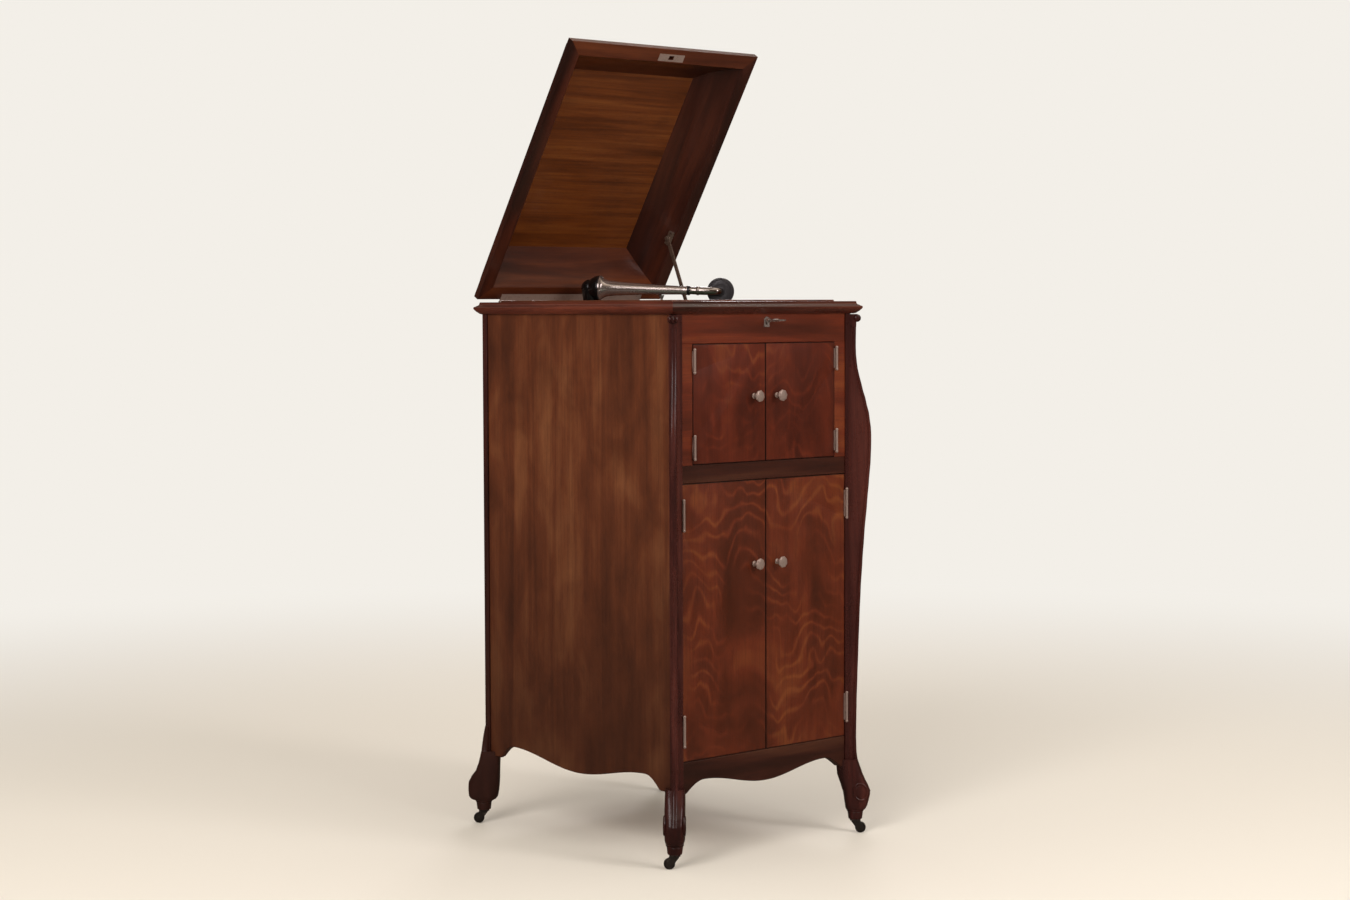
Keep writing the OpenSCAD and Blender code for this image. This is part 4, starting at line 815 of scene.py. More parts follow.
def absorb(mesh: Mesh, part: Mesh, place: Matrix = Matrix(), material: int = 0) -> None:
    """Moves a part's mesh into place and adds it to another mesh.

    Args:
        mesh: The mesh that receives it.
        part: The part, which is used up.
        place: Matrix from the part's frame to the cabinet's.
        material: Number of the material that its faces get.
    """
    bmesh.ops.transform(part, matrix=place, verts=part.verts)
    for face in part.faces:
        face.material_index = material
    carrier = bpy.data.meshes.new("carrier")
    part.to_mesh(carrier)
    part.free()
    mesh.from_mesh(carrier)
    bpy.data.meshes.remove(carrier)


def turned(mesh: Mesh, outline: Sequence[Point], place: Matrix, steps: int, material: int = 0) -> None:
    """Spins an outline about an axis and adds the turning to a mesh.

    Args:
        mesh: The mesh that receives the turning.
        outline: Points (radius, height) in millimetres, from one end of the axis to the other.
        place: Matrix from the turning's own frame, whose Z is the axis.
        steps: Steps round the axis.
        material: Number of the material that its faces get.
    """
    part = bmesh.new()
    verts = [part.verts.new(metres(r, 0, h)) for r, h in outline]
    edges = [part.edges.new(pair) for pair in zip(verts, verts[1:])]
    bmesh.ops.spin(part, geom=verts + edges, axis=(0, 0, 1), cent=(0, 0, 0), angle=math.tau, steps=steps,
                   use_merge=True)
    weld(part)
    absorb(mesh, part, place, material)


def slotted_screw(mesh: Mesh, place: Matrix, radius: float, turn: float, material: int = 0) -> None:
    """A countersunk screw head with its slot, proud of the surface by a hair.

    Args:
        mesh: The mesh that receives it.
        place: Matrix whose Z points out of the surface.
        radius: Radius of the head in millimetres.
        turn: Angle of the slot in degrees.
        material: Number of the material that its faces get.
    """
    part = bmesh.new()
    bmesh.ops.create_circle(part, cap_ends=True, segments=20, radius=radius * MM, matrix=shifted(0, 0, 0.25))
    for side in (1, -1):
        bmesh.ops.bisect_plane(part, geom=part.verts[:] + part.edges[:] + part.faces[:],
                               plane_co=metres(0, side * radius * 0.13, 0), plane_no=(0, 1, 0))
    slot = min(part.faces, key=lambda f: abs(f.calc_center_median().y))
    pressed = bmesh.ops.extrude_discrete_faces(part, faces=[slot])["faces"]
    bmesh.ops.translate(part, vec=metres(0, 0, -0.5), verts=list({v for f in pressed for v in f.verts}))
    rim = [e for e in part.edges if e.is_boundary]
    skirt = bmesh.ops.extrude_edge_only(part, edges=rim)["geom"]
    bmesh.ops.translate(part, vec=metres(0, 0, -0.35), verts=verts_of(skirt))
    bmesh.ops.recalc_face_normals(part, faces=part.faces)
    absorb(mesh, part, place @ rotated(turn, "Z"), material)


def window(mesh: Mesh, middle: Point, half: Point, level: float, depth: float = 0.0) -> list[Face]:
    """Cuts a rectangular window in the foremost flat face at a height.

    Args:
        mesh: The mesh that is cut.
        middle: Middle of the window in plan, in millimetres.
        half: Half its width and half its depth.
        level: Height of the face.
        depth: Height of the pocket's walls over the face; 0 leaves an open hole.

    Returns:
        The new floor of the pocket, or nothing for an open hole.
    """
    flat = [f for f in mesh.faces if all(abs(v.co.z / MM - level) < 0.01 for v in f.verts)]
    flat = [min(flat, key=lambda f: f.calc_center_median().y)]
    centre = metres(*middle, level)
    for axis, side in ((0, -1), (0, 1), (1, -1), (1, 1)):
        out = Vector((0, 0, 0))
        out[axis] = 1.0
        geom = flat + list({e for f in flat for e in f.edges}) + list({v for f in flat for v in f.verts})
        cut = bmesh.ops.bisect_plane(mesh, geom=geom, plane_co=centre + out * side * half[axis] * MM,
                                     plane_no=out)
        flat = [g for g in cut["geom"] if isinstance(g, Face)]
    hole = min(flat, key=lambda f: (f.calc_center_median() - centre).length)
    rim = hole.edges[:]
    bmesh.ops.delete(mesh, geom=[hole], context="FACES_ONLY")
    if not depth:
        return []
    walls = bmesh.ops.extrude_edge_only(mesh, edges=rim)["geom"]
    fresh = verts_of(walls)
    bmesh.ops.translate(mesh, vec=metres(0, 0, depth), verts=fresh)
    far = [e for e in mesh.edges if e.verts[0] in fresh and e.verts[1] in fresh]
    return bmesh.ops.edgeloop_fill(mesh, edges=far)["faces"]


def facing(spot: Vector, out: Vector, up: Vector = Vector((0, 0, 1))) -> Matrix:
    """A frame at a spot whose Z points outward.

    Args:
        spot: The place in metres.
        out: Direction that becomes Z.
        up: Rough direction of Y.

    Returns:
        The matrix.
    """
    z = out.normalized()
    x = up.cross(z).normalized()
    y = z.cross(x)
    turn = Matrix((x, y, z)).transposed().to_4x4()
    return Matrix.Translation(spot) @ turn


# ---------------------------------------------------------------- the woods and metals of this cabinet


# Gaps (axis, millimetres) round the upper doors, the lower doors and the side panels, where painted shade
# darkens the wood; the side panels' place at the case's top is painted shadow under the top moulding.
SHADED_GAPS_UPPER = ((0, 0.0), (2, 770.0), (2, 1001.0), (0, -193.0), (0, 193.0))
SHADED_GAPS_LOWER = ((0, 0.0), (2, 201.0), (2, 735.0), (0, -222.0), (0, 222.0))
SHADED_GAPS_SIDE = ((1, -280.0), (1, 280.0), (2, CASE_TOP))
RECIPES: dict[str, Union[Varnished, Plated, Enamelled, Felted]] = {
    "side": Varnished("side veneer", "#3b1c10", "#5a2d18", "#744528", Grain.ALONG_Z, Figure.RIBBON,
                      foot_dark=0.5, gaps=SHADED_GAPS_SIDE),
    "door": Varnished("upper door veneer", "#341209", "#531e0e", "#673116", Grain.ALONG_Z, Figure.RIPPLE,
                      shift=0.37, gaps=SHADED_GAPS_UPPER),
    "low_door": Varnished("lower door veneer", "#361508", "#54210f", "#693417", Grain.ALONG_Z, Figure.RIPPLE,
                          gaps=SHADED_GAPS_LOWER),
    "post": Varnished("post wood", "#1c0a09", "#331411", "#4c231c", Grain.ALONG_Z, coat=0.35, gloss=0.28),
    "rear_post": Varnished("rear post wood", "#1c0a09", "#331411", "#4c231c", Grain.ALONG_Z, coat=0.3,
                           foot_dark=0.65),
    "rail": Varnished("rail wood", "#36150b", "#5b2311", "#6d3419", Grain.ALONG_X),
    "mid_rail": Varnished("middle rail wood", "#1f0e09", "#33170f", "#452618", Grain.ALONG_X),
    # Front and rear lengths of the moulding: darker than the side lengths, partly the wood's own tone and
    # partly painted shade for the shadow in the cove under its lip; the full coat gives real sheen.
    "sill_x": Varnished("front moulding wood with painted shade", "#1f0b07", "#38150d", "#502417", Grain.ALONG_X, coat=1.0,
                        gloss=0.28),
    "sill_y": Varnished("side moulding wood", "#280e09", "#461a11", "#632c1c", Grain.ALONG_Y, coat=0.5),
    "lid_x": Varnished("lid cross wood", "#280f07", "#431c0c", "#5a2b14", Grain.ALONG_X, tilt=LID_OPEN,
                       coat=0.4),
    "lid_y": Varnished("lid side wood", "#180906", "#2b1009", "#421c0f", Grain.ALONG_Y, tilt=LID_OPEN,
                       coat=0.4),
    "lid_panel": Varnished("lid panel wood", "#3a1a08", "#5a2b0c", "#6c3b16", Grain.ALONG_X, Figure.FINE,
                           LID_OPEN, shift=1.9),
    "well": Varnished("well lining wood", "#2c130c", "#4a2214", "#64351f", Grain.ALONG_Y),
    "board": Varnished("motor board wood", "#331810", "#542a18", "#6f3d24", Grain.ALONG_X),
    "plain": Varnished("inner boards", "#4d2e1b", "#73492c", "#8f6240", Grain.ALONG_X, Figure.FINE,
                       gloss=0.55, coat=0.05),
    "grip": Varnished("grip wood", "#120907", "#24120c", "#371d13", Grain.ALONG_X, coat=0.6, gloss=0.24),
    "nickel": Plated("nickel plate", "#c9bcb5", "#85746c", 0.15, 0.4, bareness=0.92),
    "neck": Plated("polished neck", "#b5aaa2", "#4a4038", 0.09, 0.5),
    "stay": Plated("tarnished bar", "#7a675a", "#33241b", 0.28, 0.9, bareness=0.7),
    "satin_nickel": Plated("satin nickel plate", "#ad978d", "#76625a", 0.27, 0.45, bareness=0.66),
    "worn_nickel": Plated("worn nickel plate", "#a39690", "#5e4f46", 0.24, 0.6, bareness=0.7),
    "steel": Plated("turned steel", "#8f8b87", "#5a5049", 0.28, 0.5),
    "brass": Plated("clock brass", "#b3924f", "#6e5326", 0.26, 0.5),
    "black": Enamelled("black enamel", "#0b0a0a", "#3b352f", 0.22, 0.06, 0.15),
    "box_back": Enamelled("sound box lacquer", "#262326", "#4a4548", 0.42, 0.05, 0.2),
    "iron": Enamelled("caster iron", "#1d1815", "#6d625a", 0.40, 0.2, 0.6),
    "felt": Felted("turntable felt", "#233a24", "#4a5f43"),
}


class Finishes:
    """Every finish of the cabinet, made once and read by its name."""

    def __init__(self) -> None:
        """Makes the materials."""
        self.made = {name: recipe.make() for name, recipe in RECIPES.items()}

    def __getattr__(self, name: str) -> Material:
        """The material of that name."""
        return self.made[name]


# ---------------------------------------------------------------- pieces that keep the solid's shape


@dataclass(frozen=True)
class Dress:
    """How a CAD node that keeps its shape is dressed.

    Attributes:
        node: The CAD node.
        body: The body that carries it.
        slot: Name of a slot; not used.
        finish: Name of its finish in RECIPES.
        soften: Rounding of its edges in millimetres; 0 leaves them crisp.
        ending: Last word of the piece's name.
        segments: Steps of the rounding.
    """

    node: str
    body: str
    slot: str
    finish: str
    soften: float = 0.0
    ending: str = "dressed"
    segments: int = 2

    def apply(self, finishes: Finishes) -> None:
        """Adds the dressed piece."""
        finish_piece(f"{self.node}_{self.ending}", merged_copy(self.node), [getattr(finishes, self.finish)],
                     self.body, [self.node], CRISP, self.soften, self.segments)


BOARDS: tuple[Dress, ...] = (
    Dress("well_liners", "case", "case_wood", "well", 1.2, "board"),
    Dress("motor_board", "case", "case_wood", "board", 0.8, "board"),
    Dress("back_panel", "case", "inner_wood", "plain", 0.8, "board"),
    Dress("bottom_board", "case", "inner_wood", "plain", 0.8, "board"),
    Dress("divider_board", "case", "inner_wood", "plain", 0.8, "board"),
    Dress("record_shelves", "case", "inner_wood", "plain", 0.8, "board"),
    Dress("horn_boards", "case", "inner_wood", "plain", 0.8, "board"),
    Dress("tone_louvres", "case", "inner_wood", "rail", 1.0, "board"),
)
METALWORK: tuple[Dress, ...] = (
    Dress("lock_bolt", "bolt_body", "nickel", "steel", 0.3),
    Dress("key", "key_body", "nickel", "nickel"),
    Dress("lock_case", "case", "nickel", "worn_nickel"),
    Dress("platter", "turntable", "nickel", "worn_nickel", 0.8),
    Dress("felt_disc", "turntable", "felt", "felt", 0.4),
    Dress("spindle", "turntable", "nickel", "nickel"),
    Dress("motor_frame", "case", "black_iron", "black"),
    Dress("horn_throat", "case", "black_iron", "black"),
    Dress("spring_barrel", "barrel_body", "clock_brass", "brass"),
    Dress("middle_wheel", "middle_body", "clock_brass", "brass"),
    Dress("governor", "governor_body", "clock_brass", "brass"),
    Dress("winding_arbor", "arbor_body", "steel", "steel"),
    Dress("crank", "crank_body", "nickel", "nickel"),
    Dress("crank_grip", "grip_body", "grip_wood", "grip"),
    Dress("brake_lever", "brake_body", "nickel", "nickel", 0.5),
    Dress("speed_knob", "speed_body", "nickel", "nickel", 0.4),
    Dress("fixed_fittings", "case", "nickel", "nickel"),
    Dress("arm_base", "case", "black_iron", "black"),
    Dress("caster_sockets", "case", "dark_metal", "iron"),
)


# ---------------------------------------------------------------- carved posts and legs


@dataclass
class CornerPosts:
    """The four posts with their legs, and the scroll that runs down each front corner.

    Attributes:
        fin: Half thickness of the scroll in millimetres.
        scroll: Rows of (height, projection) of the scroll's outer edge.
        front_leg: Rows of (height, inner edge, outer edge, half width, squareness) of a front leg.
        rear_leg: The same rows of a rear leg.
    """

    finishes: Finishes
    fin: float = 6.3
    scroll: tuple[Row, ...] = (
        (1034, 9.2), (1004, 8.6), (983, 8.6), (953, 11), (933, 15.5), (903, 23), (882, 29), (852, 36),
        (822, 39.6), (806, 40), (791, 39.8), (761, 38.8), (720, 35.5), (680, 32), (609, 26), (558, 22.4),
        (497, 18.8), (446, 16.6), (384, 14.4), (313, 12.2), (272, 10.8), (200, 9.8), (169, 10.4),
        (152, 12.6), (139, 16.9), (122, 22.8), (109, 28.3), (98, 34.2), (89, 37.6), (85.4, 39.4))
    front_leg: tuple[Row, ...] = (
        (152, -28, 11.5, 18.6, 5.0), (139, -30.7, 15.2, 19.4, 4.8), (122, -29.2, 21.2, 19.7, 4.2),
        (112, -25.8, 25.8, 19.8, 4.0), (98, -21.2, 32.7, 19.9, 3.6), (84, -16.8, 38.2, 19.9, 3.4),
        (80, -16.2, 38.3, 19.9, 3.3), (69, -14.8, 35.8, 19.8, 3.2), (57, -13.0, 32.6, 19.5, 3.0),
        (51, -12.0, 29.6, 18.0, 2.7), (48.3, -10.6, 27.6, 16.4, 2.4))
    rear_leg: tuple[Row, ...] = (
        (152, -24, 12.0, 18.6, 5.0), (139, -26.7, 15.0, 19.4, 4.8), (131, -26.3, 16.9, 19.7, 4.4),
        (113, -25.8, 23.0, 19.8, 4.0), (96, -25.5, 34.6, 19.9, 3.6), (86, -25.1, 39.6, 19.9, 3.4),
        (71, -23.8, 40.3, 19.9, 3.3), (60, -22.0, 39.5, 19.8, 3.1), (56, -21.0, 38.6, 19.4, 3.0),
        (51, -17.2, 34.6, 18.0, 2.7), (48.3, -12.6, 27, 16.4, 2.4))

    def _fin_section(self, reach: float, height: float) -> list[Vector]:
        """Outline of the scroll seen from above: flank, groove, and rounded outer bead.

        Args:
            reach: How far the scroll stands out at that height.
            height: The height in millimetres.

        Returns:
            The points in metres.
        """
        f = self.fin
        bead = min(5.2, reach - 3.5)
        half = [(-2.6, f), (reach - bead - 3.2, f), (reach - bead - 2.4, f - 1.5),
                (reach - bead - 1.2, f - 1.7), (reach - bead - 0.4, f - 0.9), (reach - bead + 0.6, f - 0.1),
                (reach - bead * 0.62, f + 0.1), (reach - bead * 0.30, f - 1.5), (reach - 0.5, f - 3.6)]
        outline = half + [(reach, 0.0)] + [(x, -y) for x, y in reversed(half)]
        return [metres(x, y, height) for x, y in outline]

    def _leg_section(self, height: float, inner: float, outer: float, half: float,
                     square: float) -> list[Vector]:
        """Outline of a leg seen from above, a softened square.

        Args:
            height: Height of the section.
            inner: Its inner edge along the diagonal.
            outer: Its outer edge.
            half: Half its width.
            square: Squareness; 2 is an oval.

        Returns:
            The points in metres.
        """
        middle, reach = (inner + outer) / 2, (outer - inner) / 2
        ring = []
        steps = 28
        for i in range(steps):
            a = math.tau * (i + 0.5) / steps
            c, s = math.cos(a), math.sin(a)
            ring.append(metres(middle + math.copysign(abs(c) ** (2 / square), c) * reach,
                               math.copysign(abs(s) ** (2 / square), s) * half, height))
        return ring

    def _roundel(self, mesh: Mesh, place: Matrix) -> None:
        """The oval boss with its raised rim on each side of a front knee.

        Args:
            mesh: Mesh that takes the bosses.
            place: Frame of the leg's corner.
        """
        outline = [(0, 2.1), (4, 2.0), (8, 1.6), (10.6, 1.0), (11.5, 0.7), (12.2, 1.6), (13.2, 2.1),
                   (14.4, 1.9), (15.2, 1.0), (15.5, -2)]
        lean = rotated(-9.5, "Y")
        for side in (1, -1):
            upright = shifted(18.5, side * 19.4, 86) @ lean @ facing(Vector(), Vector((0, side, 0)))
            turned(mesh, outline, place @ upright @ Matrix.Diagonal(Vector((1.0, 1.26, 1.0, 1.0))), 48)

    def _leg(self, mesh: Mesh, place: Matrix, rows: tuple[Row, ...]) -> None:
        """One cabriole leg with its ankle rings.

        Args:
            mesh: Mesh that takes the leg.
            place: Frame of the leg's corner.
            rows: Rows of the leg's sections.
        """
        heights = [152, 146, 139, 133, 127, 122, 117, 112, 107, 102, 98, 93, 88, 84, 80, 75, 69, 63, 60,
                   57, 55, 53, 51, 49.4, 48.3]
        swept(mesh, [self._leg_section(h, *between(rows, h)) for h in heights], place)
        rings = [(0, 48.9), (16.4, 48.8), (17.3, 47.9), (17.45, 46.4), (17.0, 45.0), (15.8, 44.3),
                 (15.4, 43.5), (15.7, 42.9), (15.5, 42.0), (15.1, 38), (14.6, 34), (14.2, 31), (13.9, 29.4),
                 (12.8, 29), (6, 29)]
        turned(mesh, rings, place @ shifted(LEG_AXIS, 0, 0), 40)

    def _crest(self, mesh: Mesh, place: Matrix) -> None:
        """The small rolled end under the moulding: three beads on a neck.

        Args:
            mesh: Mesh that takes the beads.
            place: Frame of the corner.
        """
        for across, radius in ((-6.9, 6.6), (0.0, 7.8), (6.9, 6.6)):
            half = 3.5
            bead = [(0, -half), (radius - 2.6, -half), (radius - 1.0, -half * 0.72), (radius, 0),
                    (radius - 1.0, half * 0.72), (radius - 2.6, half), (0, half)]
            turned(mesh, bead, place @ facing(metres(11.0, across, 1047.8), Vector((0, 1, 0))), 28)
        f = self.fin
        rows = ((9.2, 1030), (9.6, 1040), (11.5, 1048), (11.5, 1056))
        swept(mesh, [level_ring((-2.6, -f), (x, f), z) for x, z in rows], place)

    def build(self) -> None:
        """Builds the front and the rear posts."""
        front = post_shafts(True)
        for sx in (-1, 1):
            place = corner_frame(sx, -1)
            heights = [1034 - 14.7 * i for i in range(61)] + [139, 131, 122, 115, 109, 103, 98, 93, 89, 85.4]
            swept(front, [self._fin_section(between(self.scroll, h)[0], h) for h in heights], place)
            self._crest(front, place)
            self._leg(front, place, self.front_leg)
            self._roundel(front, place)
        finish_piece("front_posts_carved", front, [self.finishes.post], "case",
                     ["front_posts"], sharp=38)
        rear = post_shafts(False)
        for sx in (-1, 1):
            place = corner_frame(sx, 1)
            rows = [(204, 4.0, 9.4), (184, 8.0, 9.8), (166, 10.6, 10.5), (150, 12.4, 13), (140, 15.0, 16.5)]
            swept(rear, [self._leg_section(h, -4, reach, half, 3.2) for h, reach, half in rows], place)
            self._leg(rear, place, self.rear_leg)
        finish_piece("rear_posts_carved", rear, [self.finishes.rear_post], "case",
                     ["rear_posts"], sharp=38)


def post_shafts(front: bool) -> Mesh:
    """The straight shafts of two posts, with the tongue behind each panel.

    Args:
        front: Whether these are the front posts.

    Returns:
        A mesh of the plain shafts.
    """
    mesh = bmesh.new()
    outer = [(235.4, -294), (245, -284.4), (245, -280.6), (244.4, -280), (229, -280), (229, -262),
             (222, -262)]
    plain = outer + [(222, -293.4), (222.6, -294)]
    pocket = outer + [(222, -277), (223.4, -277), (223.4, -294)]
    rear = [(222, 262), (229, 262), (229, 280), (244.4, 280), (245, 280.6), (245, 293.2), (244.2, 294),
            (222.6, 294), (222, 293.4)]
    rows = [(139, 234, plain), (234, 288, pocket), (288, 648, plain), (648, 702, pocket),
            (702, CASE_TOP, plain)]
    upright_pair(mesh, rows if front else [(139, CASE_TOP, rear)])
    return mesh


# ---------------------------------------------------------------- case


@dataclass
class Case:
    """The carcass: panels, rails, mouldings, linings and inner boards."""

    finishes: Finishes

    def _sides(self) -> None:
        """The two side panels with their bow-shaped lower edge."""
        outline = [(280, CASE_TOP), (280, 142)] + bow_edge(144, 26, 205, 246)
        outline += [(-280, 142), (-280, CASE_TOP)]
        spans = {"left": (-HALF_WIDTH, 13 - HALF_WIDTH), "right": (HALF_WIDTH - 13, HALF_WIDTH)}
        for word, span in spans.items():
            mesh = bmesh.new()
            board(mesh, outline, span, (1, 2, 0), 1.2)
            finish_piece(f"side_panel_{word}_veneered", mesh, [self.finishes.side], "case",
                         [f"side_panel_{word}"])

    def _apron(self) -> None:
        """The shaped rail under the lower doors."""
        outline = [(222, 200.6), (222, 139)] + bow_edge(139, 23, 165, 212) + [(-222, 139), (-222, 200.6)]
        mesh = bmesh.new()
        board(mesh, outline, FRONT_BOARD, (0, 2, 1), 1.4)
        finish_piece("front_apron_shaped", mesh, [self.finishes.mid_rail], "case",
                     ["front_apron"])

    def _frieze(self, mesh: Mesh) -> None:
        """The rail over the upper doors, pierced by the keyhole.

        Args:
            mesh: Mesh that takes the rail.
        """
        part = bmesh.new()
        board(part, rectangle((-222, 1001.4), (222, CASE_TOP)), FRONT_BOARD, (0, 2, 1))
        face = next(f for f in part.faces if all(abs(v.co.y / MM + FRONT) < 0.01 for v in f.verts))
        rim = face.edges[:]
        bmesh.ops.delete(part, geom=[face], context="FACES_ONLY")
        middle, top, radius = 3, 1045, 3.5
        turns = [math.radians(-150 + 20 * i) for i in range(16)]
        hole = [(middle + radius * math.sin(a), top + radius * math.cos(a)) for a in turns]
        hole += [(4.6, 1036), (1.4, 1036)]
        verts = [part.verts.new(metres(x, -FRONT, z)) for x, z in hole]
        edges = [part.edges.new((verts[i - 1], verts[i])) for i in range(len(verts))]
        bmesh.ops.triangle_fill(part, use_beauty=True, use_dissolve=False, edges=rim + edges)
        walls = bmesh.ops.extrude_edge_only(part, edges=edges)["geom"]
        bmesh.ops.translate(part, vec=metres(0, 4, 0), verts=verts_of(walls))
        sides = [g for g in walls if isinstance(g, bmesh.types.BMEdge)]
        far = [e for e in sides if all(v.co.y > (3 - FRONT) * MM for v in e.verts)]
        bmesh.ops.edgeloop_fill(part, edges=far)
        bmesh.ops.recalc_face_normals(part, faces=part.faces)
        absorb(mesh, part)

    def _front(self) -> None:
        """Frieze, middle rail, and the stiles with their hinge pockets."""
        mesh = bmesh.new()
        self._frieze(mesh)
        board(mesh, rectangle((-222, 735.4), (222, 769.6)), FRONT_BOARD, (0, 2, 1))
        for side in mesh.faces:
            side.material_index = 1 if side.calc_center_median().z < 771 * MM else 0
        face, rear = FRONT_BOARD
        back = [(222, face), (222, rear), (193, rear)]
        plain = back + [(193, face + 0.9), (193.9, face)]
        pocket = back + [(193, -277), (194.4, -277), (194.4, face)]
        rows = [(769.6, 783, plain), (783, 823, pocket), (823, 948, plain), (948, 988, pocket),
                (988, 1001.4, plain)]
        upright_pair(mesh, rows)
        finish_piece("front_frame_rails", mesh, [self.finishes.rail, self.finishes.mid_rail], "case",
                     ["front_frame"])

    def _moulding(self) -> None:
        """The top moulding with its ogee, in four mitred lengths."""
        outline = [(220, CASE_TOP), (245.3, CASE_TOP), (245.3, 1057.2)]
        outline += smooth_path([(248.6, 1058.4), (250.6, 1060.4), (253, 1062.3), (254.6, 1064.2)], 4)
        outline += smooth_path([(256.4, 1066.2), (257.7, 1068.4), (258, 1070), (257.6, 1071.6),
                                (256.2, 1072.8)], 4)
        outline += [(254.2, 1073.4)]
        outline += smooth_path([(253.6, 1074.4), (250.9, 1075.6), (249.4, 1077.6), (248.8, 1079.6)], 4)
        outline += smooth_path([(248.8, 1080.6), (248.4, 1081.6), (247.4, SILL_TOP)], 3)
        outline += [(220, SILL_TOP)]
        extra = 49
        mesh = bmesh.new()
        frame_sweep(mesh, outline, extra, 0)
        window(mesh, BOLT, BOLT_SLOT, CASE_TOP)
        floor = window(mesh, BOLT, BOLT_SLOT, SILL_TOP, CASE_TOP - SILL_TOP)
        bmesh.ops.delete(mesh, geom=floor, context="FACES_ONLY")
        weld(mesh)
        mark_lengths(mesh, extra, 0)
        finish_piece("top_moulding_ogee", mesh, [self.finishes.sill_x, self.finishes.sill_y], "case",
                     ["top_moulding"], sharp=40)

    def build(self) -> None:
        """Builds and dresses the case."""
        self._sides()
        self._apron()
        self._front()
        for dress in BOARDS:
            dress.apply(self.finishes)
        self._moulding()


# ---------------------------------------------------------------- doors


@dataclass
class Doors:
    """Four doors with their knobs and hinges."""

    finishes: Finishes

    def _knob(self, mesh: Mesh, spot: Vector, turn: float) -> None:
        """An eight-sided cast knob with a waisted neck and crowned face.

        Args:
            mesh: Mesh that takes the knob.
            spot: Foot of the knob in metres.
            turn: Its turn in degrees.
        """
        out = facing(spot, Vector((0, -1, 0)))
        neck = [(0, 0), (5.4, 0), (5.6, 0.7), (4.4, 1.6), (3.6, 3.4), (3.4, 6.0), (3.8, 8.0), (5.0, 9.4),
                (0, 9.4)]
        turned(mesh, neck, out, 24)
        part = bmesh.new()
        rings = []
        angles = [math.tau * (i + 0.5) / 8 for i in range(8)]
        for radius, height in ((3.9, 8.2), (6.6, 10.4), (9.2, 12.8), (11.3, 15.4), (11.7, 16.8), (11.2, 18.2),
                               (9.2, 19.3), (5.6, 20.0)):
            rings.append([metres(radius * math.cos(a), radius * math.sin(a), height) for a in angles])
        sweep_rings(part, rings)
        weld(part)
        crisp = [e for e in part.edges if not e.is_boundary and e.calc_face_angle(0) > 0.3]
        bmesh.ops.bevel(part, geom=crisp, offset=0.35 * MM, segments=2, profile=0.5, affect="EDGES",
                        material=-1, clamp_overlap=True)
        absorb(mesh, part, out @ rotated(turn, "Z"))

    def _fittings(self, node: str, body: str, knob: Vector, turn: float, pin_x: float,
                  spans: Sequence[Point]) -> None:
        """The knob and the moving leaves of one door.

        Args:
            node: CAD node of the fittings.
            body: Body of the door.
            knob: Foot of the knob in metres.
            turn: Turn of the knob in degrees.
            pin_x: Place of the hinge's pin across the case.
            spans: Foot and top of each leaf.
        """
        mesh = merged_copy(node)
        gone = [v for v in mesh.verts if abs(v.co.x - knob.x) < 16 * MM and abs(v.co.z - knob.z) < 16 * MM]
        bmesh.ops.delete(mesh, geom=gone, context="VERTS")
        self._knob(mesh, knob, turn)
        side = math.copysign(1.0, pin_x)
        for low, high in spans:
            for share in (0.2, 0.8):
                spot = metres(pin_x - side * 1.85, -283.5, low + (high - low) * share)
                slotted_screw(mesh, facing(spot, Vector((-side, 0, 0))), 1.6, 40 * share)
        finish_piece(node + "_metal", mesh, [self.finishes.satin_nickel], body, [node], sharp=CRISP)

    def build(self) -> None:
        """Builds and dresses the doors."""
        upper = ("upper", "door", 898, 193, ((783, 823), (948, 988)))
        lower = ("lower", "low_door", 570, 222, ((234, 288), (648, 702)))
        turns = {"upper_left": 8, "upper_right": 30, "lower_left": 20, "lower_right": 3}
        for side, word in ((-1, "left"), (1, "right")):
            for level, finish, height, pin, spans in (upper, lower):
                door = f"{level}_{word}"
                Dress(door + "_door", door, "panel_wood", finish, 1.3, "veneered", 3).apply(self.finishes)
                self._fittings(door + "_fittings", door, metres(side * 31, -FRONT, height), turns[door],
                               side * pin, spans)
        Dress("door_hinge_leaves", "case", "nickel", "satin_nickel", ending="nickel").apply(self.finishes)


# ---------------------------------------------------------------- lid


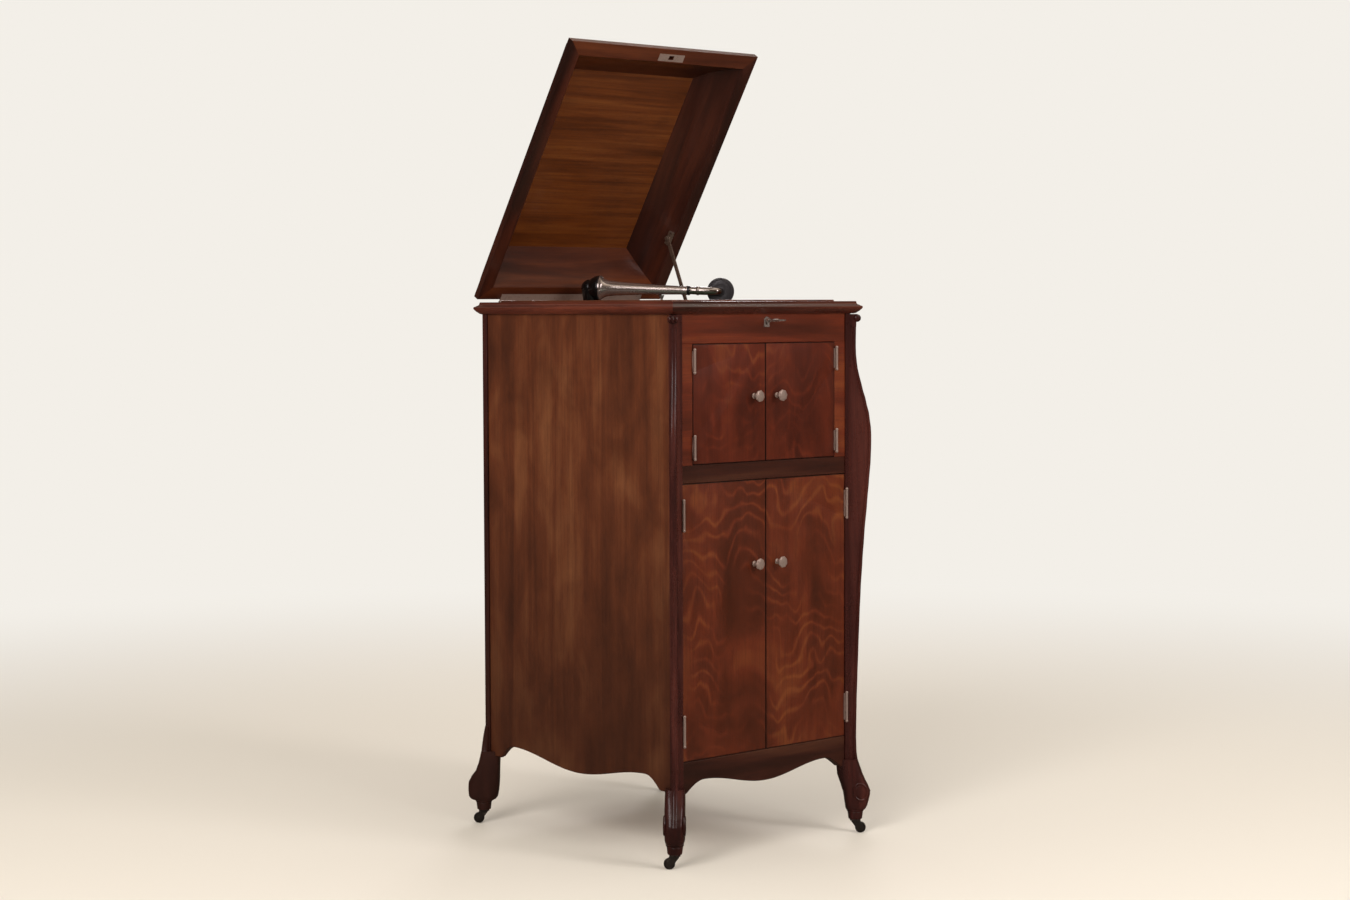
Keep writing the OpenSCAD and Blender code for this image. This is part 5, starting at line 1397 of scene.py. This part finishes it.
@dataclass
class Lid:
    """The domed lid with its hinge, strike plate and stay.

    Attributes:
        edge: Distance of the frame's sides from the middle.
        extra: How much farther than that it reaches along Y.
        middle: Its middle along Y.
        seat: Height of its underside when it is closed.
    """

    finishes: Finishes
    edge: float = 252.0
    extra: float = 44.0
    middle: float = 1.0
    seat: float = 1083.0

    def _outline(self) -> list[Point]:
        """Section of the lid's frame: rim, outer mouldings, crown, inner cove.

        Returns:
            Points (distance from the middle plane, height) in millimetres.
        """
        e, z = self.edge, self.seat
        outer = [(e - 0.8, z), (e, z + 0.8), (e, z + 13.2), (e - 0.8, z + 14)]
        outer += smooth_path([(e - 3.2, z + 15.2), (e - 5.2, z + 17.4), (e - 8.4, z + 18.8)], 3)
        outer += smooth_path([(e - 9.2, z + 19.3), (e - 13.5, z + 24), (e - 19, z + 33), (e - 26, z + 43),
                              (e - 33, z + 50.5), (e - 39.2, z + 55.6)], 4)
        outer += smooth_path([(e - 41.4, z + 57.2), (e - 46, z + 60.4), (e - 54, z + 66), (e - 62, z + 71.4),
                              (e - 68, z + 74.6), (e - 74, z + 76)], 3)
        inner = [(e - 90, z + 76), (e - 90, z + 66)]
        inner += smooth_path([(e - 89.4, z + 65.4), (e - 75.6, z + 55.2), (e - 58.8, z + 40.2),
                              (e - 42.4, z + 20.6), (e - 31.4, z + 2.6)], 4)
        return outer + inner + [(e - 30, z + 0.8), (e - 29.2, z)]

    def _frame(self) -> None:
        """The coved frame, with cross and side lengths mitred."""
        mesh = bmesh.new()
        frame_sweep(mesh, self._outline(), self.extra, self.middle)
        bed = 1.5
        window(mesh, BOLT, PLATE_BED, self.seat, bed)
        window(mesh, BOLT, BOLT_MORTISE, self.seat + bed, 10.5)
        weld(mesh)
        mark_lengths(mesh, self.extra, self.middle)
        bmesh.ops.transform(mesh, matrix=OPENED, verts=mesh.verts)
        finish_piece("lid_frame_coved", mesh, [self.finishes.lid_x, self.finishes.lid_y], "lid",
                     ["lid_frame"], sharp=34)

    def _metal(self) -> None:
        """Hinge leaf, strike plate and stay bracket, with their screws."""
        mesh = merged_copy("lid_fittings")
        for vert in mesh.verts:
            if abs((OPENED.inverted() @ vert.co).z / MM - self.seat) < 0.02:
                vert.co += OPENED.to_3x3() @ metres(0, 0, -PLATE_LIFT)
        bracket = 192 * MM
        for face in mesh.faces:
            face.material_index = 1 if abs(face.calc_center_median().x) > bracket else 0
        screws = [(x, 289.5, 2.9, 35 * i) for i, x in enumerate((-167, -83, 0, 83, 167))]
        screws += [(BOLT[0] - 27, BOLT[1], 2.6, 20), (BOLT[0] + 27, BOLT[1], 2.6, 70)]
        for x, y, radius, turn in screws:
            spot = facing(metres(x, y, self.seat), Vector((0, 0, -1)), Vector((0, 1, 0)))
            slotted_screw(mesh, OPENED @ spot, radius, turn)
        finish_piece("lid_fittings_nickel", mesh, [self.finishes.satin_nickel, self.finishes.stay], "lid",
                     ["lid_fittings"], sharp=CRISP)
        fixed = merged_copy("lid_hinge_leaf")
        for vert in fixed.verts:
            if abs(vert.co.z / MM - SILL_TOP) < 0.02:
                vert.co.z += PLATE_LIFT * MM
        for i, x in enumerate((-125, -42, 42, 125)):
            spot = facing(metres(x, 291.0, SILL_TOP), Vector((0, 0, 1)), Vector((0, 1, 0)))
            slotted_screw(fixed, spot, 2.9, 70 * i)
        finish_piece("lid_hinge_leaf_nickel", fixed, [self.finishes.satin_nickel], "case",
                     ["lid_hinge_leaf"], sharp=CRISP)

    def build(self) -> None:
        """Builds and dresses the lid."""
        self._frame()
        Dress("lid_panel", "lid", "case_wood", "lid_panel", ending="board").apply(self.finishes)
        self._metal()
        Dress("stay_bar", "stay", "nickel", "stay", 0.35, "steel").apply(self.finishes)


# ---------------------------------------------------------------- arm and casters


@dataclass
class ToneArm:
    """The black elbow, the nickel tube with its bell, the gooseneck and the sound box.

    Attributes:
        pivot: Where the arm turns.
        heading: Its direction in plan, in degrees.
        droop: How much it falls toward the disc, in degrees.
        reach: Distance of the sound box along the arm.
        bend: Radius of the gooseneck's bend.
    """

    finishes: Finishes
    pivot: tuple[float, float, float] = (-16.0, 222.0, 1112.0)
    heading: float = -53.0
    droop: float = 1.8
    reach: float = 275.0
    bend: float = 14.0

    def frame(self) -> Matrix:
        """The arm's own frame: X along the arm, Y to its left."""
        return shifted(*self.pivot) @ rotated(self.heading, "Z") @ rotated(self.droop, "Y")

    def axis(self) -> Matrix:
        """A frame whose Z runs along the arm."""
        return self.frame() @ rotated(90, "Y")

    def _elbow(self) -> None:
        """Cast elbow with its collar, its swelling hood and the flange."""
        mesh = bmesh.new()
        stem = [(9, 1037), (12.5, 1037), (12.5, 1058.2), (15.2, 1058.2), (16, 1059), (16, 1061.4),
                (15.2, 1062.2), (13.2, 1062.8), (12.7, 1066), (12.7, 1076), (13.4, 1084), (15.0, 1094),
                (16.4, 1104), (16.9, 1110), (9, 1110), (9, 1037)]
        turned(mesh, stem, shifted(self.pivot[0], self.pivot[1], 0), 40)
        dome = bmesh.new()
        bmesh.ops.create_uvsphere(dome, u_segments=40, v_segments=24, radius=17.5 * MM)
        absorb(mesh, dome, self.frame())
        hood = [(10, 0), (17.1, 0)]
        hood += smooth_path([(17.8, 1.2), (20.0, 4), (23.0, 9), (25.2, 14), (26.3, 18)], 3)
        hood += [(26.4, 19.4), (26.4, 21.4), (25.8, 22), (9, 22)]
        turned(mesh, hood, self.axis(), 48)
        finish_piece("arm_elbow_cast", mesh, [self.finishes.black], "arm_body",
                     ["arm_elbow"], sharp=40)

    def _tube(self) -> None:
        """Tapered tube with bell, bead and swivel collar, and three flange screws."""
        mesh = bmesh.new()
        outline = [(9, 22.2), (25.8, 22.2), (26.4, 22.7), (26.4, 24.2), (25.4, 25.1)]
        outline += smooth_path([(24.2, 25.9), (21.4, 28.6), (18.9, 33), (17.0, 39), (15.7, 47),
                                (15.0, 55), (14.5, 62)], 3)
        outline += [(12.7, 90), (11.2, 120), (10.4, 142), (9.3, 180), (8.8, 196.4), (9.5, 197),
                    (9.7, 198), (9.7, 199.5), (9.0, 200.2), (9.0, 206.0), (9.7, 206.8), (9.7, 208.4),
                    (9.2, 209), (6.5, 209), (6.5, 193), (8, 180), (11.0, 60), (11, 45), (9, 34), (9, 22.2)]
        turned(mesh, outline, self.axis(), 48)
        for angle in (-75, 45, 165):
            spin = self.axis() @ rotated(angle, "Z")
            turned(mesh, [(0, 1.9), (1.2, 1.8), (2.2, 1.2), (2.6, 0.3), (2.6, -1)],
                   spin @ shifted(22.4, 0, 26.4) @ rotated(40, "Y"), 16)
        finish_piece("arm_tube_nickel", mesh, [self.finishes.nickel], "arm_body",
                     ["arm_tube"], sharp=34)

    def _box(self) -> None:
        """Sound box: lacquered back with rings, nickel boss, milled rim, needle bar and needle."""
        mesh = bmesh.new()
        arm = self.frame() @ shifted(self.reach, self.bend, 0)
        place = arm @ rotated(-90, "X")
        back = [(0, 0.2), (6.4, 0.2), (8.4, 0.5), (8.9, 1.2), (8.9, 2.6), (10.4, 2.9), (14, 2.4), (18, 2.5),
                (21.6, 3.0), (23.2, 3.5), (23.7, 3.0), (24.6, 3.0), (25.2, 3.8), (27.2, 4.2), (28.2, 5.2),
                (28.5, 6.4), (28.5, 11.0), (28.0, 12.4), (26.8, 13), (25, 13), (24.4, 12.2), (24.2, 11),
                (0, 11)]
        turned(mesh, back, place, 56)
        for i in range(3):
            angle = math.radians(50 + 120 * i)
            spot = place @ shifted(26.2 * math.cos(angle), 26.2 * math.sin(angle), 4.1)
            slotted_screw(mesh, spot @ rotated(180, "X"), 1.5, 30 * i, 1)
        rows = ((-0.5, 0.8, 11.2, 13.2), (-8, 1.0, 11.2, 13.4), (-20, 1.3, 11.4, 13.8), (-30, 1.5, 11.2, 14),
                (-35, 1.5, 10, 13))
        swept(mesh, [level_ring((-w, near), (w, far), h) for h, w, near, far in rows], arm, 1)
        block = bmesh.new()
        bmesh.ops.create_cube(block, size=1.0, matrix=Matrix.Diagonal(Vector((8 * MM, 6 * MM, 9.6 * MM, 1))))
        bmesh.ops.bevel(block, geom=block.edges[:], offset=0.8 * MM, segments=2, profile=0.5,
                        affect="EDGES", material=-1)
        absorb(mesh, block, arm @ shifted(0, 6.5, -31.6), 1)
        turned(mesh, [(0, 0), (1.9, 0), (2.7, 0.6), (2.7, 5.6), (2.2, 6.2), (0, 6.2)],
               arm @ shifted(0, 7.6, -35.4) @ rotated(-90, "X"), 20, 1)
        turned(mesh, [(0, 0), (0.9, 0), (0.9, 8.4), (0.55, 10.6), (0.12, 11.9), (0, 11.9)],
               arm @ shifted(0, 6.5, -34.5) @ rotated(155, "Y"), 16, 1)
        finish_piece("sound_box_dressed", mesh, [self.finishes.box_back, self.finishes.nickel], "neck_body",
                     ["sound_box"], sharp=30)

    def _gooseneck(self) -> None:
        """Polished neck with a dark swivel ring and a bright one, bent toward the sound box."""
        bend = self.bend
        straight = [(206, 6.2), (209.4, 6.2), (209.4, 9.2), (210.0, 9.9), (213.8, 9.9), (214.4, 9.2),
                    (214.6, 8.0)]
        straight += [(219, 7.8), (228, 8.1), (229, 9.0), (230, 9.4), (232.6, 9.4), (233.6, 9.0), (234.6, 8.3)]
        straight += [(246, 8.4), (256, 8.2)]
        places = [(Vector((x, 0, 0)), Vector((0, 1, 0)), r) for x, r in straight]
        steps = 12
        for step in range(steps + 1):
            angle = math.pi / 2 * step / steps
            spot = Vector((self.reach - bend + bend * math.sin(angle), bend - bend * math.cos(angle), 0))
            places.append((spot, Vector((-math.sin(angle), math.cos(angle), 0)), 8.1 - 1.1 * step / steps))
        rings = [[(spot + out * r * math.cos(a) + Vector((0, 0, 1)) * r * math.sin(a)) * MM
                  for a in (math.tau * i / 32 for i in range(32))] for spot, out, r in places]
        mesh = bmesh.new()
        swept(mesh, rings, self.frame())
        back = self.frame().inverted()
        start, end = 209.3, 214.5
        for face in mesh.faces:
            along = (back @ face.calc_center_median()).x / MM
            face.material_index = 1 if start < along < end else 0
        finish_piece("gooseneck_bent", mesh, [self.finishes.neck, self.finishes.black], "neck_body",
                     ["gooseneck"], sharp=CRISP)

    def build(self) -> None:
        """Builds the arm."""
        self._elbow()
        self._tube()
        self._gooseneck()
        self._box()


@dataclass
class Casters:
    """Four swivelling casters."""

    finishes: Finishes

    def build(self) -> None:
        """Dresses forks and wheels."""
        rim = [(2.1, -4.4), (4.2, -4.4), (5.0, -3.4), (8.4, -3.2), (9.4, -4.1), (10.4, -4.0), (10.95, -3.0)]
        wheel = rim + [(10.99, 0)] + [(radius, -height) for radius, height in reversed(rim)] + rim[:1]
        corners = (("front_left", -1, -1, -87), ("front_right", 1, -1, 0), ("rear_left", -1, 1, 0),
                   ("rear_right", 1, 1, 0))
        for word, sx, sy, turn in corners:
            Dress(word + "_fork", word + "_swivel", "dark_metal", "iron", 0.3, "cast").apply(self.finishes)
            mesh = bmesh.new()
            swivel = corner_frame(sx, sy) @ shifted(LEG_AXIS, 0, 0) @ rotated(turn, "Z")
            place = swivel @ shifted(10.5, 0, 11) @ rotated(90, "X")
            turned(mesh, wheel, place, 40)
            finish_piece(word + "_wheel_turned", mesh, [self.finishes.iron], word + "_roller",
                         [word + "_wheel"], sharp=CRISP)


# ---------------------------------------------------------------- studio


@dataclass(frozen=True)
class Lamp:
    """One soft rectangular lamp.

    Attributes:
        name: Name of the lamp.
        spot: Its place in metres.
        aim: Height of the point over the floor's middle that it faces.
        size: Width and height in metres.
        power: Power in watts.
        colour: Its colour.
        mirrored: Whether polished surfaces reflect it.
    """

    name: str
    spot: Row
    aim: float
    size: Point
    power: float
    colour: Row
    mirrored: bool = True

    def hang(self) -> None:
        """Adds the lamp to the scene."""
        data = bpy.data.lights.new(self.name, "AREA")
        data.shape = "RECTANGLE"
        data.size, data.size_y = self.size
        data.energy = self.power
        data.color = self.colour
        lamp = bpy.data.objects.new(self.name, data)
        lamp.location = self.spot
        lamp.visible_glossy = self.mirrored
        toward = Vector((0, 0, self.aim)) - Vector(self.spot)
        lamp.rotation_euler = toward.to_track_quat("-Z", "Y").to_euler()
        bpy.context.scene.collection.objects.link(lamp)


LAMPS: tuple[Lamp, ...] = (
    Lamp("key", (-4.6, -2.2, 3.0), 0.7, (3.0, 3.0), 170, (1.0, 0.95, 0.88), False),
    Lamp("front fill", (0.6, -5.2, 2.2), 0.6, (3.0, 2.4), 130, (1.0, 0.96, 0.90), False),
    Lamp("back rim", (3.2, 3.0, 3.2), 1.0, (1.2, 1.2), 40, (1.0, 0.96, 0.98)),
    Lamp("left strip", (-3.4, -1.4, 2.6), 1.0, (0.7, 2.2), 20, (1.0, 0.95, 0.97)),
    Lamp("front strip", (1.0, -3.8, 2.6), 1.0, (0.8, 2.2), 24, (1.0, 0.95, 0.97)),
)


@dataclass
class Studio:
    """The camera, the floor and backdrop, and the lamps.

    Attributes:
        station: Place of the camera in metres.
        ahead: Direction in which it looks.
        roll: Its roll in degrees.
        lens: Its focal length.
        backdrop: Colour of the backdrop.
        near: Colour of the floor near the cabinet.
        fade: Distances between which the floor takes the backdrop's colour, in metres.
    """

    station: tuple[float, float, float] = (-3.41294, -3.81158, 1.07318)
    ahead: tuple[float, float, float] = (0.66852, 0.74148, -0.05734)
    roll: float = -0.193
    lens: float = 66.84
    backdrop: str = "#f3efe8"
    near: str = "#e9e3d9"
    fade: Point = (1.2, 4.6)

    def _camera(self) -> None:
        """Sets the camera of the photograph's view."""
        data = bpy.data.cameras.new("camera")
        data.lens = self.lens
        data.sensor_width = 36
        data.clip_end = 60
        eye = bpy.data.objects.new("camera", data)
        eye.matrix_world = facing(Vector(self.station), -Vector(self.ahead)) @ rotated(self.roll, "Z")
        bpy.context.scene.collection.objects.link(eye)
        bpy.context.scene.camera = eye

    def _ground(self) -> Material:
        """A pale matte floor that runs into the backdrop's colour far from the cabinet.

        Returns:
            The material.
        """
        r = Recipe("floor")
        r.feed(Base_Color=tone(self.near), Roughness=0.9, Specular_IOR_Level=0.2)
        away = r.value("ShaderNodeVectorMath", {"operation": "LENGTH"}, {0: r.place()}, "Value")
        glow = r.node("ShaderNodeEmission", {}, {"Color": tone(self.backdrop), "Strength": 1.0}).outputs[0]
        out = next(n for n in r.tree.nodes if n.bl_idname == "ShaderNodeOutputMaterial").inputs["Surface"]
        r.join(out, r.mixed(r.window(away, *self.fade), out.links[0].from_socket, glow))
        return r.material

    def _floor(self) -> None:
        """Lays the floor, which is staged apart from the pieces."""
        mesh = bmesh.new()
        bmesh.ops.create_grid(mesh, x_segments=1, y_segments=1, size=9)
        data = bpy.data.meshes.new("floor")
        mesh.to_mesh(data)
        mesh.free()
        floor = bpy.data.objects.new("floor", data)
        floor.data.materials.append(self._ground())
        floor.visible_glossy = False
        bpy.context.scene.collection.objects.link(floor)

    def _world(self) -> None:
        """The backdrop that is seen, the light that falls, and what polished metal reflects."""
        world = bpy.data.worlds.new("studio")
        bpy.context.scene.world = world
        world.use_nodes = True
        world.node_tree.nodes.clear()
        tree = Tree(world.node_tree)
        spot = tree.node("ShaderNodeTexCoord").outputs["Generated"]
        height = tree.node("ShaderNodeSeparateXYZ", {}, {0: spot}).outputs["Z"]
        stops = ((0.0, "#4a3d33"), (0.12, "#3a2f29"), (0.45, "#5b4c42"), (0.72, "#c9baa9"), (0.95, "#fff6ea"),
                 (1.0, "#ffffff"))
        mirrored = tree.ramp(height, [(place, tone(code)) for place, code in stops])
        rays = tree.node("ShaderNodeLightPath").outputs
        seen = tree.node("ShaderNodeMath", {"operation": "MAXIMUM"},
                         {0: rays["Is Camera Ray"], 1: rays["Is Transmission Ray"]}).outputs[0]
        bounced = tree.mixed(rays["Is Glossy Ray"], tree.backdrop(tone("#f6efe4"), 0.62),
                             tree.backdrop(mirrored, 1.0))
        shown = tree.mixed(seen, bounced, tree.backdrop(tone(self.backdrop), 1.0))
        tree.node("ShaderNodeOutputWorld", {}, {0: shown})

    def build(self) -> None:
        """Builds the studio."""
        self._camera()
        self._floor()
        self._world()
        for lamp in LAMPS:
            lamp.hang()
        bpy.context.scene.view_settings.view_transform = "Standard"


def main() -> None:
    """Dresses every sub-assembly in order, then sets up the studio."""
    logging.basicConfig(level=logging.INFO, format="%(name)s: %(message)s")
    finishes = Finishes()
    CornerPosts(finishes).build()
    Case(finishes).build()
    Doors(finishes).build()
    Lid(finishes).build()
    for dress in METALWORK:
        dress.apply(finishes)
    ToneArm(finishes).build()
    Casters(finishes).build()
    Studio().build()
    LOG.info("done")


if __name__ == "__main__":
    main()
